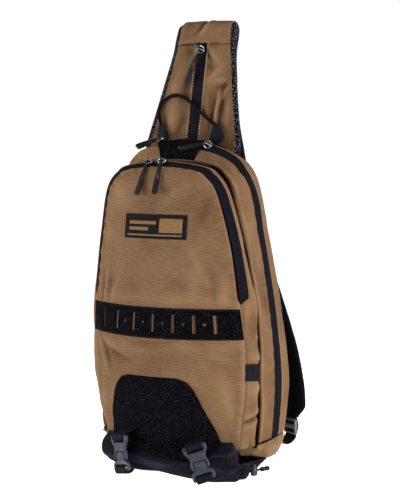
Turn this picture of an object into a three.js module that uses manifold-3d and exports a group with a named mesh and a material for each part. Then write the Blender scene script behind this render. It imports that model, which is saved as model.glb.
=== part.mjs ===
// Sling pack: a one-strap bag of brown canvas with black trim, hanging by the top bend of its padded strap.
// Millimetres, +Z up. The front faces -Y, and the strap comes back to the pack at its lower +X corner.
// Shapes are worked out in the pack's own frame, where z = 0 is the bag's floor, x = 0 its middle plane and
// y = 0 lies between the front pocket and the main compartment. One group then moves them to the hanging point.
import * as THREE from "three";
import { mergeVertices } from "three/addons/utils/BufferGeometryUtils.js";
import Module from "manifold-3d";

const wasm = await Module();
wasm.setup();

// Driving dimensions
const CANVAS_WALL = 2; // canvas with its lining
const TRIM_WALL = 1.4; // webbing, loop fabric and zip tape
const GAP = 0.4; // clearance between pieces that touch
const LIFT = 0.7; // clearance of a flat piece laid on a curved, faceted one
const WEBBING_WIDTH = 25;

const SEAM_Z = 23; // height of the seam where the bag's floor wraps up onto its sides
const SIDE_CREST = 0.6; // where the side is widest, as a share of the way from front to back
const BACK_ROUND = 9; // how far the side pulls in at the back edge
const MAIN_ZIP_WIDTH = 12;

const POCKET_BEVEL = 10; // the pocket's zip lies on a slope this far out and this far back
const BEVEL_SHARE = 0.38; // that slope's share of the pocket's side
const POCKET_ZIP_END_Z = 205; // where the pocket's zip runs in under the side canvas
const ZIP_END_FADE = 14; // height over which its end narrows
const PANEL_INSET = 1.7; // the front panel's edge, in from the pocket's outline

const PAD_THICKNESS = 10; // back panel
const PAD_TOP_Z = 402.3;

const BAND_Z = 178;
const BAND_HEIGHT = 42;
const BAND_HALF_LENGTH = 114;
const SLOT_PITCH = 31;
const SLOT_SIZE = { width: 3, height: 25 };
const EYELET_RADIUS = 2;
const SLOT_COUNT = 7;

const BADGE = { z: 308, width: 98, height: 33 };
const TOP_YOKE_HALF = 48;
const SIDE_TAB = { low: 101, high: 124 };

const STRAP_THICKNESS = 14;
const STRAP_BEND_RADIUS = 10; // middle of the strap, where it hangs over a hook
const STRAP_BEND = { y: 97, z: 573.5 };
const STRAP_BEND_WIDTHS = [87, 85, 83, 79, 75]; // round the bend from front to back
const STRAP_ZIP_WIDTH = 13;

const HAUL_CORD_DIAMETER = 5;
const DRAW_CORD_DIAMETER = 3;

// Half outlines: the sides from the bottom up to the middle of the top, and the floor from the -X seam to the middle
const MAIN_OUTLINE = [
  { x: 134, z: SEAM_Z },
  { x: 140, z: 60 },
  { x: 141, z: 100 },
  { x: 137, z: 140 },
  { x: 131, z: 190 },
  { x: 122, z: 245 },
  { x: 114, z: 295 },
  { x: 107, z: 345 },
  { x: 97, z: 380 },
  { x: 80, z: 402 },
  { x: 45, z: 418 },
  { x: 0, z: 424 },
];
const FLOOR_OUTLINE = [
  { x: -133.9, z: SEAM_Z - 0.5 },
  { x: -132.2, z: 12 },
  { x: -124, z: -3 },
  { x: -104, z: -10 },
  { x: -50, z: -12 },
  { x: 0, z: -12 },
];
const POCKET_OUTLINE = [
  { x: 100, z: 8 },
  { x: 110, z: 38 },
  { x: 120, z: 80 },
  { x: 122.5, z: 140 },
  { x: 115.5, z: 204 },
  { x: 107, z: 262 },
  { x: 102, z: 293 },
  { x: 93, z: 342 },
  { x: 86, z: 366 },
  { x: 75, z: 380 },
  { x: 58, z: 391 },
  { x: 0, z: 395 },
];

// Depths of the main compartment by height: y of the groove behind the pocket, of the zip and of the back edge,
// and how far the side pulls in towards the groove
const DEPTHS = [
  { z: -4, groove: 11, zip: 48, back: 64, frontDrop: 12 },
  { z: 60, groove: 9, zip: 51, back: 72, frontDrop: 13 },
  { z: 140, groove: 6, zip: 49, back: 71, frontDrop: 13 },
  { z: 240, groove: 2, zip: 41, back: 66, frontDrop: 13 },
  { z: 319, groove: 0, zip: 31, back: 60, frontDrop: 13 },
  { z: 353, groove: 0, zip: 27, back: 55, frontDrop: 15 },
  { z: 386, groove: 2, zip: 22, back: 48, frontDrop: 19 },
  { z: 405, groove: 4, zip: 20, back: 37, frontDrop: 23 },
  { z: 424, groove: 8, zip: 20, back: 39, frontDrop: 26 },
];

// Front of the pocket by height: y at the middle and at the edge, half width, how far its side reaches out where it
// meets the main compartment, and how far the side bulges on the way
const FRONT = [
  { z: 0, centre: -22, edge: -3, half: 97, rear: 8, bulge: 3 },
  { z: 20, centre: -35, edge: -9, half: 104, rear: 8, bulge: 3 },
  { z: 50, centre: -52, edge: -16, half: 113, rear: 8, bulge: 3 },
  { z: 100, centre: -65, edge: -20, half: 121.5, rear: 8, bulge: 3 },
  { z: 150, centre: -68, edge: -21, half: 121.5, rear: 7, bulge: 4 },
  { z: 204, centre: -65, edge: -26, half: 115.5, rear: 5, bulge: 9 },
  { z: 262, centre: -62, edge: -29, half: 107, rear: 3, bulge: 1 },
  { z: 306, centre: -57, edge: -31, half: 100, rear: 2, bulge: 0 },
  { z: 350, centre: -48, edge: -32, half: 92, rear: 1, bulge: 0 },
  { z: 380, centre: -38, edge: -31, half: 86, rear: 2, bulge: 0 },
  { z: 400, centre: -27, edge: -27, half: 82, rear: 3, bulge: 0 },
];
const FRONT_ROUNDNESS = 2.2;

// Loop-fabric field low on the front: half width by height
const LOOP_FIELD = [
  { z: 14, half: 85 },
  { z: 40, half: 79 },
  { z: 60, half: 71 },
  { z: 80, half: 63 },
  { z: 92, half: 55 },
  { z: 100, half: 46 },
  { z: 103, half: 33 },
];

// Soft dents and folds: middle of each, its direction in degrees from +X, half length, half width and depth
const FRONT_FOLDS = [
  { x: -62, z: 240, turn: 100, length: 34, width: 17, depth: 2.5 },
  { x: 78, z: 262, turn: 110, length: 40, width: 17, depth: 2 },
  { x: -30, z: 128, turn: 0, length: 50, width: 15, depth: 1.5 },
];
const STRAP_FOLDS = [
  { across: 0.55, z: 470, turn: 90, length: 34, width: 0.16, depth: 2.2 },
  { across: -0.5, z: 450, turn: 90, length: 30, width: 0.16, depth: 1.6 },
];

// Middle line of the strap behind the bend, and its whole width along the way
const STRAP_FRONT = [
  { x: 0, y: 47.5, z: 402, width: 148 },
  { x: 0, y: 53, z: 427, width: 142 },
  { x: 0, y: 69, z: 494, width: 114 },
  { x: 0, y: 81.5, z: 545, width: 94 },
];
const STRAP_BACK = [
  { x: 0, y: 107.5, z: 548, width: 67 },
  { x: 0, y: 113, z: 500, width: 62 },
  { x: 0, y: 120, z: 450, width: 61 },
  { x: 6, y: 126, z: 400, width: 61 },
  { x: 18, y: 129, z: 340, width: 61 },
  { x: 34, y: 130, z: 285, width: 62 },
  { x: 52, y: 129, z: 230, width: 63 },
  { x: 73, y: 126, z: 175, width: 65 },
  { x: 95, y: 119, z: 115, width: 66 },
  { x: 110, y: 111, z: 68, width: 60 },
  { x: 117, y: 106.5, z: 43, width: 46 },
];

// Stowage pouch under the front: its outline from the front seam round below to the seam on the floor
const POUCH_PROFILE = [
  { y: -34, z: 11 },
  { y: -43, z: -6 },
  { y: -36, z: -25 },
  { y: -10, z: -35 },
  { y: 20, z: -28 },
  { y: 32, z: -14 },
];
const POUCH = { left: -106, right: 97, leftTaper: 0.18, rightTaper: 0.3, sag: 18, gathers: 7, gatherDepth: 2.2 };

// Haul loop and draw cord, as points that their middle lines pass through
const HAUL_LOOP = [
  [-45, 42.5, 436],
  [-52, 44.8, 446],
  [-58, 47.7, 458],
  [-58.5, 50.6, 470],
  [-53, 52.7, 479],
  [-44, 54.2, 485],
  [-33, 54.6, 487],
  [-21, 53.9, 484],
  [-9, 52.4, 477.5],
  [4, 50.1, 468],
  [17, 46.6, 457.5],
  [30, 44.1, 447],
  [42, 42.7, 437],
];
const DRAW_CORD = [
  [99.2, -2, -19],
  [100.8, 2, -24],
  [103, 8.5, -28],
  [107, 13, -28.5],
  [113, 19, -28.5],
  [119, 25, -28.5],
  [125, 30, -27],
];

// Zip sliders: where each sits and the point that its pull reaches towards
const ZIP_HEADS = [
  { name: "pocket_left", on: "pocket", x: -23, toward: [-37, -54, 346] },
  { name: "pocket_right", on: "pocket", x: -2, toward: [-9, -57, 346] },
  { name: "main_left", on: "main", x: -42, toward: [-82, 16, 419] },
  { name: "main_right", on: "main", x: 40, toward: [2, 6, 427] },
  { name: "strap", on: "strap", x: 0, toward: [-15, 55, 505] },
];

// Side-release buckles at the base: middle of each, its turn about the upright and lean in the front plane in degrees,
// and where its upper webbing is sewn to the front
const BASE_BUCKLES = [
  { name: "left", at: [-57, -48, -6], turn: -24, lean: -10, seat: { x: -50, z: 24 } },
  { name: "right", at: [66, -49, -8], turn: 24, lean: 12, seat: { x: 59, z: 24 } },
];
const BUCKLE_THICKNESS = 6;
const BUCKLE_SCALE = 0.92;
const SEWN_CLEAR = 5.6; // middle of sewn webbing, out from the front canvas

const canvas = new THREE.MeshStandardMaterial({ color: 0x8e6f50, roughness: 0.85 });
const webbing = new THREE.MeshStandardMaterial({ color: 0x17161b, roughness: 0.7 });
const loopCloth = new THREE.MeshStandardMaterial({ color: 0x0f0e13, roughness: 1 });
const mesh3d = new THREE.MeshStandardMaterial({ color: 0x131318, roughness: 0.9 });
const zipTape = new THREE.MeshStandardMaterial({ color: 0x1b1b20, roughness: 0.5 });
const badgeCloth = new THREE.MeshStandardMaterial({ color: 0x15151b, roughness: 0.6 });
const greyPlastic = new THREE.MeshStandardMaterial({ color: 0x4d505d, roughness: 0.45 });
const pullRubber = new THREE.MeshStandardMaterial({ color: 0x2c2c33, roughness: 0.6 });
const nickel = new THREE.MeshStandardMaterial({ color: 0x8b8c90, roughness: 0.3, metalness: 1 });
const cordage = new THREE.MeshStandardMaterial({ color: 0x18181c, roughness: 0.8 });

// Curves and tables
const V = (x, y, z) => new THREE.Vector3(x, y, z);
const mix = THREE.MathUtils.lerp;
const ramp = THREE.MathUtils.smoothstep;

/** Shares along a curve, closer together where it bends: equal steps of length plus so many mm a radian. */
function pacedShares(at, steps, mmPerRadian) {
  const fine = 1500;
  const points = Array.from({ length: fine + 1 }, (_, i) => at(i / fine));
  const walked = [0];
  for (let i = 1; i <= fine; i++) {
    const step = points[i].clone().sub(points[i - 1]);
    const before = i > 1 ? points[i - 1].clone().sub(points[i - 2]) : step;
    walked.push(walked[i - 1] + step.length() + mmPerRadian * before.angleTo(step));
  }
  const shares = Array.from({ length: steps + 1 }, (_, i) => {
    const goal = (walked[fine] * i) / steps;
    const k = Math.max(1, walked.findIndex((w) => w >= goal - 1e-9));
    return (k - 1 + (goal - walked[k - 1]) / (walked[k] - walked[k - 1])) / fine;
  });
  return (u) => {
    const i = THREE.MathUtils.clamp(Math.floor(u * steps), 0, steps - 1);
    return mix(shares[i], shares[i + 1], u * steps - i);
  };
}

/** The value of one column at height z: a cubic through the rows, flat beyond the ends. */
function column(rows, name, by = "z") {
  const keys = rows.map((row) => row[by]);
  const values = rows.map((row) => row[name]);
  const last = rows.length - 1;
  const slope = (i) => {
    const [a, b] = [Math.max(i - 1, 0), Math.min(i + 1, last)];
    return (values[b] - values[a]) / (keys[b] - keys[a]);
  };
  return (key) => {
    if (key <= keys[0]) return values[0];
    if (key >= keys[last]) return values[last];
    const i = keys.findIndex((k) => k > key) - 1;
    const span = keys[i + 1] - keys[i];
    const w = (key - keys[i]) / span;
    const [m0, m1] = [slope(i) * span, slope(i + 1) * span];
    const rise = values[i + 1] - values[i];
    return values[i] + m0 * w + (3 * rise - 2 * m0 - m1) * w ** 2 + (m0 + m1 - 2 * rise) * w ** 3;
  };
}

/** A half outline and its mirror image as one open curve in the XZ plane, from the +X end to the -X end. */
function archOf(half) {
  const mirrored = half.slice(0, -1).reverse().map((p) => ({ x: -p.x, z: p.z }));
  const curve = new THREE.SplineCurve([...half, ...mirrored].map((p) => new THREE.Vector2(p.x, p.z)));
  curve.arcLengthDivisions = 800;
  return (t) => {
    const share = THREE.MathUtils.clamp(t, 0, 1);
    const p = curve.getPointAt(share);
    const along = curve.getTangentAt(share);
    return { x: p.x, z: p.y, outX: along.y, outZ: -along.x };
  };
}

const ARCH_STEPS = 40;
const BEND_PACE = 90;

/** Paced shares of an arch, so that pieces along the same outline break at the same places. */
const archPace = (arch) => pacedShares((t) => V(arch(t).x, 0, arch(t).z), ARCH_STEPS, BEND_PACE);

/** The step of a pace that lies nearest to a share, as its own share. */
const stepNear = (pace, steps, t) => {
  const all = Array.from({ length: steps + 1 }, (_, i) => i / steps);
  return all.reduce((best, u) => (Math.abs(pace(u) - t) < Math.abs(pace(best) - t) ? u : best), 0);
};

/** The share t of an arch, on its +X half, where test(point) first holds. */
function findOn(arch, test) {
  const steps = 2000;
  for (let i = 0; i <= steps; i++) if (test(arch((0.5 * i) / steps))) return (0.5 * i) / steps;
  return 0.5;
}

const mainArch = archOf(MAIN_OUTLINE);
const floorArch = archOf(FLOOR_OUTLINE);
const pocketArch = archOf(POCKET_OUTLINE);
const mainPace = archPace(mainArch);
const pocketPace = archPace(pocketArch);
const floorPace = archPace(floorArch);
const depthOf = {
  groove: column(DEPTHS, "groove"),
  zip: column(DEPTHS, "zip"),
  back: column(DEPTHS, "back"),
  frontDrop: column(DEPTHS, "frontDrop"),
};
const frontOf = {
  centre: column(FRONT, "centre"),
  edge: column(FRONT, "edge"),
  half: column(FRONT, "half"),
  rear: column(FRONT, "rear"),
  bulge: column(FRONT, "bulge"),
};

/** Depth of a set of folds at (a, b): each is a ridge of that length and width about its own line. */
function foldDepth(folds, a, b, aName, bName) {
  let depth = 0;
  for (const fold of folds) {
    const turn = THREE.MathUtils.degToRad(fold.turn);
    const [da, db] = [a - fold[aName], b - fold[bName]];
    const along = (da * Math.cos(turn) + db * Math.sin(turn)) / fold.length;
    const across = (db * Math.cos(turn) - da * Math.sin(turn)) / fold.width;
    depth += fold.depth * Math.exp(-along * along - across * across);
  }
  return depth;
}

// Surfaces of the bag
/** The side of the main compartment: t runs along the outline and s from the groove to the back edge. */
function sidePoint(arch, t, s) {
  const p = arch(t);
  const { groove, back, frontDrop } = depthOf;
  const y = mix(groove(p.z), back(p.z), s);
  const drop =
    s < SIDE_CREST
      ? frontDrop(p.z) * ((SIDE_CREST - s) / SIDE_CREST) ** 2
      : BACK_ROUND * ((s - SIDE_CREST) / (1 - SIDE_CREST)) ** 2;
  return V(p.x - p.outX * drop, y, p.z - p.outZ * drop);
}

/** The share s of the main zip's middle, or of a line some millimetres behind it. */
function zipShare(t, offset = 0) {
  const { z } = mainArch(t);
  const [front, back] = [depthOf.groove(z), depthOf.back(z)];
  return (depthOf.zip(z) + offset - front) / (back - front);
}

/** y of the front of the pocket at (x, z): an arched panel with its soft folds. */
function frontY(x, z) {
  const [centre, edge] = [frontOf.centre(z), frontOf.edge(z)];
  const share = Math.min(Math.abs(x) / frontOf.half(z), 1.1);
  const fade = 1 - ramp(share, 0.8, 1);
  return centre + (edge - centre) * share ** FRONT_ROUNDNESS + fade * foldDepth(FRONT_FOLDS, x, z, "x", "z");
}

const frontPoint = (x, z) => V(x, frontY(x, z), z);

/** The side of the pocket: t runs along its outline and s from the front panel's edge to the groove. */
function pocketPoint(t, s) {
  const p = pocketArch(t);
  const [front, rear] = [frontY(p.x, p.z), depthOf.groove(p.z) - GAP - 0.2];
  let out = POCKET_BEVEL * (s / BEVEL_SHARE);
  let y = front + POCKET_BEVEL * (s / BEVEL_SHARE);
  if (s > BEVEL_SHARE) {
    const w = (s - BEVEL_SHARE) / (1 - BEVEL_SHARE);
    out = mix(POCKET_BEVEL, frontOf.rear(p.z), w) + frontOf.bulge(p.z) * 4 * w * (1 - w);
    y = mix(front + POCKET_BEVEL, rear, w);
  }
  return V(p.x + p.outX * out, y, p.z + p.outZ * out);
}

/** A patch filling four edges of the XZ plane, each a function of a share, with opposite edges in step. */
function fillPoint(left, right, bottom, top, u, v) {
  const sides = ["x", "z"].map((k) => {
    const across = mix(left(v)[k], right(v)[k], u);
    const upward = mix(bottom(u)[k], top(u)[k], v);
    const corners = mix(mix(bottom(0)[k], bottom(1)[k], u), mix(top(0)[k], top(1)[k], u), v);
    return across + upward - corners;
  });
  return { x: sides[0], z: sides[1] };
}

/** The area inside an arch, drawn in by inset and closed along its foot; shoulder splits its sides from its top. */
function archFill(arch, inset, shoulder, u, v) {
  const at = (t) => {
    const p = arch(t);
    return { x: p.x - p.outX * inset, z: p.z - p.outZ * inset };
  };
  const right = (w) => at(shoulder * w);
  const left = (w) => at(1 - shoulder * w);
  const top = (w) => at(1 - shoulder - (1 - 2 * shoulder) * w);
  const bottom = (w) => ({ x: mix(at(1).x, at(0).x, w), z: at(0).z });
  return fillPoint(left, right, bottom, top, u, v);
}

// Solids
/** The closed solid between two surfaces given over the unit square. */
function slab(outer, inner, uSteps, vSteps) {
  const positions = [];
  const index = [];
  const row = vSteps + 1;
  const layer = (uSteps + 1) * row;
  for (const surface of [outer, inner])
    for (let i = 0; i <= uSteps; i++)
      for (let j = 0; j <= vSteps; j++) positions.push(...surface(i / uSteps, j / vSteps).toArray());
  const quad = (a, b, c, d) => index.push(a, b, c, a, c, d);
  const rim = (a, b) => quad(a, a + layer, b + layer, b);
  for (let i = 0; i < uSteps; i++)
    for (let j = 0; j < vSteps; j++) {
      const a = i * row + j;
      quad(a, a + row, a + row + 1, a + 1);
      quad(a + layer, a + layer + 1, a + layer + row + 1, a + layer + row);
    }
  for (let i = 0; i < uSteps; i++) {
    rim(i * row, (i + 1) * row);
    rim((i + 1) * row + vSteps, i * row + vSteps);
  }
  for (let j = 0; j < vSteps; j++) {
    rim(j + 1, j);
    rim(uSteps * row + j, uSteps * row + j + 1);
  }
  const geometry = new THREE.BufferGeometry();
  geometry.setAttribute("position", new THREE.Float32BufferAttribute(positions, 3));
  geometry.setIndex(index);
  return facingOut(geometry);
}

/** Turns a closed geometry's faces round if they point inwards. */
function facingOut(geometry) {
  const position = geometry.getAttribute("position");
  const index = geometry.index.array;
  const [a, b, c] = [V(), V(), V()];
  let volume = 0;
  for (let i = 0; i < index.length; i += 3) {
    [a, b, c].forEach((corner, k) => corner.fromBufferAttribute(position, index[i + k]));
    volume += a.dot(b.cross(c));
  }
  if (volume < 0)
    for (let i = 0; i < index.length; i += 3) [index[i], index[i + 1]] = [index[i + 1], index[i]];
  return geometry;
}

/** The unit normal of a surface over the unit square; out is 1 or -1 and picks its side. */
function normalOf(surface, out) {
  const step = 0.004;
  return (u, v) => {
    const across = surface(u + step, v).sub(surface(u - step, v));
    const upward = surface(u, v + step).sub(surface(u, v - step));
    return across.cross(upward).normalize().multiplyScalar(out);
  };
}

/** A wall of cloth: the surface, lifted along its normal, with its thickness on the inner side. */
function wall(surface, out, thickness, uSteps, vSteps, lift = 0) {
  const normal = normalOf(surface, out);
  const moved = (far) => (u, v) => surface(u, v).addScaledVector(normal(u, v), far);
  return slab(moved(lift), moved(lift - thickness), uSteps, vSteps);
}

function solidOf(geometry) {
  const bare = geometry.clone();
  bare.deleteAttribute("normal");
  bare.deleteAttribute("uv");
  const merged = mergeVertices(bare, 1e-4);
  const vertProperties = merged.getAttribute("position").array;
  return new wasm.Manifold(new wasm.Mesh({ numProp: 3, vertProperties, triVerts: new Uint32Array(merged.index.array) }));
}

function geometryOf(solid) {
  const made = solid.getMesh();
  const geometry = new THREE.BufferGeometry();
  geometry.setAttribute("position", new THREE.BufferAttribute(made.vertProperties, 3));
  geometry.setIndex(new THREE.BufferAttribute(made.triVerts, 1));
  return geometry;
}

const join = (...shapes) => geometryOf(shapes.map(solidOf).reduce((a, b) => a.add(b)));
const cut = (shape, ...tools) => geometryOf(tools.map(solidOf).reduce((a, b) => a.subtract(b), solidOf(shape)));

/** A rectangle with round corners, centred at (x, y). */
function roundedRectangle(x, y, width, height, radius) {
  const [w, h] = [width / 2 - radius, height / 2 - radius];
  const shape = new THREE.Shape();
  shape.absarc(x + w, y + h, radius, 0, Math.PI / 2);
  shape.absarc(x - w, y + h, radius, Math.PI / 2, Math.PI);
  shape.absarc(x - w, y - h, radius, Math.PI, 1.5 * Math.PI);
  shape.absarc(x + w, y - h, radius, 1.5 * Math.PI, 2 * Math.PI);
  return shape;
}

/** A flat outline in XZ given its thickness along Y, about y = 0. */
function plate(shape, thickness, curveSegments = 3) {
  const geometry = new THREE.ExtrudeGeometry(shape, { depth: thickness, bevelEnabled: false, curveSegments });
  return geometry.rotateX(Math.PI / 2).translate(0, thickness / 2, 0);
}

/** A round cord along points, with flat ends. */
function cord(points, diameter, sides, steps) {
  const curve = new THREE.CatmullRomCurve3(points.map((p) => V(...p)), false, "centripetal");
  const section = new THREE.Shape();
  section.absarc(0, 0, diameter / 2, 0, 2 * Math.PI);
  return new THREE.ExtrudeGeometry(section, { steps, extrudePath: curve, curveSegments: sides });
}

/** A flat strip along points; the direction of its width turns from the first axis to the last. */
function strip(points, width, firstAxis, lastAxis, thickness, steps) {
  const curve = new THREE.CatmullRomCurve3(points.map((p) => V(...p)), false, "centripetal");
  const face = (side) => (u, v) => {
    const across = firstAxis.clone().lerp(lastAxis, u).normalize();
    const out = curve.getTangent(u).cross(across).normalize();
    return curve.getPoint(u).addScaledVector(across, width * (v - 0.5)).addScaledVector(out, side * (thickness / 2));
  };
  return slab(face(1), face(-1), steps, 1);
}

// Pieces
const pack = new THREE.Group();
pack.name = "pack";

function add(name, geometry, material, parent = pack) {
  const mesh = new THREE.Mesh(geometry, material);
  mesh.name = name;
  parent.add(mesh);
  return mesh;
}

/** Main compartment: side canvas before and behind the zip, the zip, the floor, the front wall and the back pad. */
function addMainCompartment() {
  const half = MAIN_ZIP_WIDTH / 2;
  const strips = [
    { name: "front_gusset", from: () => 0, to: (t) => zipShare(t, -half), steps: 3, material: canvas, wall: CANVAS_WALL },
    { name: "main_zip", from: (t) => zipShare(t, GAP - half), to: (t) => zipShare(t, half - GAP), steps: 1, material: zipTape, wall: TRIM_WALL },
    { name: "rear_gusset", from: (t) => zipShare(t, half), to: () => 1, steps: 2, material: canvas, wall: CANVAS_WALL },
  ];
  for (const s of strips) {
    const surface = (u, v) => {
      const t = mainPace(u);
      return sidePoint(mainArch, t, mix(s.from(t), s.to(t), v));
    };
    add(s.name, wall(surface, -1, s.wall, ARCH_STEPS, s.steps), s.material);
  }

  const floor = (u, v) => sidePoint(floorArch, floorPace(u), v);
  add("floor_panel", wall(floor, -1, CANVAS_WALL, ARCH_STEPS / 2, 4), canvas);

  const frontInset = (t) => {
    const p = mainArch(t);
    const drop = depthOf.frontDrop(p.z) + 4.5;
    return { ...p, x: p.x - p.outX * drop, z: p.z - p.outZ * drop };
  };
  const shoulder = findOn(mainArch, (p) => p.z > 370);
  const frontWall = (u, v) => {
    const p = archFill(frontInset, 0, shoulder, u, v);
    return V(p.x, depthOf.groove(p.z), p.z);
  };
  add("divider_panel", wall(frontWall, 1, CANVAS_WALL, 6, 10), canvas);
}

/** The back pad: a crowned slab behind the back edge of the side. */
function addBackPanel() {
  const inset = (p) => ({ x: p.x - p.outX * (BACK_ROUND - 1), z: p.z - p.outZ * (BACK_ROUND - 1) });
  const padEnd = findOn(mainArch, (p) => inset(p).z > PAD_TOP_Z);
  const edge = (w) => inset(mainArch(padEnd * w));
  const mirrored = (w) => ({ x: -edge(w).x, z: edge(w).z });
  const top = (w) => ({ x: mix(-edge(1).x, edge(1).x, w), z: PAD_TOP_Z });
  const bottom = (w) => inset(floorArch(floorPace(w)));
  const face = (far) => (u, v) => {
    const p = fillPoint(mirrored, edge, bottom, top, u, v);
    return V(p.x, depthOf.back(p.z) + 0.9 + far * (1 - 0.6 * Math.max(Math.abs(2 * u - 1), Math.abs(2 * v - 1)) ** 6), p.z);
  };
  add("back_panel", slab(face(PAD_THICKNESS), face(0), 10, 10), mesh3d);
}

/** The front pocket: its arched front, its zip, its side and its floor. */
function addPocket() {
  const shoulder = findOn(pocketArch, (p) => p.z > 372);
  const face = (u, v) => {
    const p = archFill(pocketArch, PANEL_INSET, shoulder, u, v);
    return frontPoint(p.x, p.z);
  };
  add("front_panel", wall(face, 1, CANVAS_WALL, 14, 14), canvas);

  const sideStart = (t) => BEVEL_SHARE * ramp(pocketArch(t).z, POCKET_ZIP_END_Z - ZIP_END_FADE, POCKET_ZIP_END_Z);
  const side = (u, v) => pocketPoint(pocketPace(u), mix(sideStart(pocketPace(u)), 1, v));
  add("pocket_gusset", wall(side, -1, CANVAS_WALL, ARCH_STEPS, 3), canvas);

  const zipEnd = stepNear(pocketPace, ARCH_STEPS, findOn(pocketArch, (p) => p.z > POCKET_ZIP_END_Z));
  const zip = (u, v) => {
    const t = pocketPace(mix(zipEnd, 1 - zipEnd, u));
    return pocketPoint(t, mix(0.01, sideStart(t) - 0.045, v));
  };
  add("pocket_zip", wall(zip, -1, TRIM_WALL, Math.round((1 - 2 * zipEnd) * ARCH_STEPS), 1), zipTape);

  const floor = (u, v) => {
    const x = mix(-94, 94, u);
    const front = frontY(x, 8) + GAP;
    return V(x, mix(front, depthOf.groove(4) - 1, v), 6);
  };
  add("pocket_floor", wall(floor, -1, CANVAS_WALL, 10, 2), canvas);
}

/** Pieces laid on the front: the slotted band, the blank badge and the loop-fabric field. */
function addFrontTrim() {
  const low = BAND_Z - BAND_HEIGHT / 2;
  const band = (u, v) => frontPoint(mix(-BAND_HALF_LENGTH, BAND_HALF_LENGTH, u), low + BAND_HEIGHT * v);
  const tools = [];
  const middle = (SLOT_COUNT - 1) / 2;
  for (let i = 0; i < SLOT_COUNT; i++) {
    const reach = bandX((i - middle) * SLOT_PITCH);
    tools.push(plate(roundedRectangle(reach, BAND_Z, SLOT_SIZE.width, SLOT_SIZE.height, 1), 200, 1));
    if (i === 0 || i === SLOT_COUNT - 1) continue;
    const eyelet = new THREE.Shape();
    eyelet.absarc(bandX((i - middle + 0.5) * SLOT_PITCH), BAND_Z, EYELET_RADIUS, 0, 2 * Math.PI);
    tools.push(plate(eyelet, 200, 2));
  }
  const flat = wall(band, 1, TRIM_WALL, 16, 1, LIFT + TRIM_WALL);
  add("slotted_band", cut(flat, ...tools), loopCloth);

  const badge = (u, v) => {
    const x = mix(-BADGE.width / 2, BADGE.width / 2, u);
    return frontPoint(x, BADGE.z + BADGE.height * (v - 0.5));
  };
  add("badge", wall(badge, 1, TRIM_WALL, 8, 2, LIFT + TRIM_WALL), badgeCloth);

  const halfOf = column(LOOP_FIELD, "half");
  const [foot, head] = [LOOP_FIELD[0].z, LOOP_FIELD.at(-1).z];
  const field = (u, v) => {
    const z = mix(foot, head, v);
    return frontPoint(mix(-halfOf(z), halfOf(z), u), z);
  };
  add("loop_field", wall(field, 1, TRIM_WALL, 10, 7, LIFT + TRIM_WALL), loopCloth);
}

/** x of a point this far along the band from its middle, measured over the arched front. */
function bandX(length) {
  const step = 0.5;
  let [x, walked] = [0, 0];
  while (walked < Math.abs(length)) {
    walked += Math.hypot(step, frontY(x + step, BAND_Z) - frontY(x, BAND_Z));
    x += step;
  }
  return Math.sign(length) * x;
}

/** The webbing tab across the pocket's side, and the loop-fabric yoke over the top between the main sliders. */
function addSideAndTop() {
  const [low, high] = [SIDE_TAB.low, SIDE_TAB.high].map((z) => findOn(pocketArch, (p) => p.z > z));
  const tab = (u, v) => pocketPoint(mix(low, high, u), mix(0.08, 0.94, v));
  add("side_tab", wall(tab, -1, TRIM_WALL, 3, 8, LIFT + TRIM_WALL), webbing);

  const yokeEnd = findOn(mainArch, (p) => p.x < TOP_YOKE_HALF);
  const yoke = (u, v) => sidePoint(mainArch, mix(yokeEnd, 1 - yokeEnd, u), mix(0.02, 0.86, v));
  add("top_yoke", wall(yoke, -1, TRIM_WALL, 8, 8, LIFT + TRIM_WALL), loopCloth);
}

// The strap
const strapRows = [
  ...STRAP_FRONT,
  ...STRAP_BEND_WIDTHS.map((width, i) => {
    const turn = Math.PI * (1 - i / (STRAP_BEND_WIDTHS.length - 1));
    const y = STRAP_BEND.y + STRAP_BEND_RADIUS * Math.cos(turn);
    return { x: 0, y, z: STRAP_BEND.z + STRAP_BEND_RADIUS * Math.sin(turn), width };
  }),
  ...STRAP_BACK,
];
const strapCurve = new THREE.CatmullRomCurve3(strapRows.map((r) => V(r.x, r.y, r.z)), false, "centripetal");
strapCurve.arcLengthDivisions = 600;
const strapWidth = column(strapRows.map((r, i) => ({ width: r.width, share: i / (strapRows.length - 1) })), "width", "share");

/** A point of the strap: t along it, across from -1 to 1, and height above its middle on the outer side. */
function strapPoint(t, across, height) {
  const share = THREE.MathUtils.clamp(t, 0, 1);
  const along = strapCurve.getTangentAt(share);
  const sideways = V(1, 0, 0).addScaledVector(along, -along.x).normalize();
  const out = sideways.clone().cross(along);
  const half = strapWidth(strapCurve.getUtoTmapping(share)) / 2;
  return strapCurve.getPointAt(share).addScaledVector(sideways, across * half).addScaledVector(out, height);
}

const STRAP_STEPS = 36;
const strapPace = pacedShares((t) => strapCurve.getPointAt(t), STRAP_STEPS, 60);

/** The share of the strap's front run at a height. */
function strapShare(z) {
  const steps = 1000;
  for (let i = 0; i <= steps; i++) if (strapCurve.getPointAt(i / steps).z >= z) return i / steps;
  return 0;
}

const strapEdge = (across) => 1 - 0.35 * Math.abs(across) ** 6;

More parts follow.
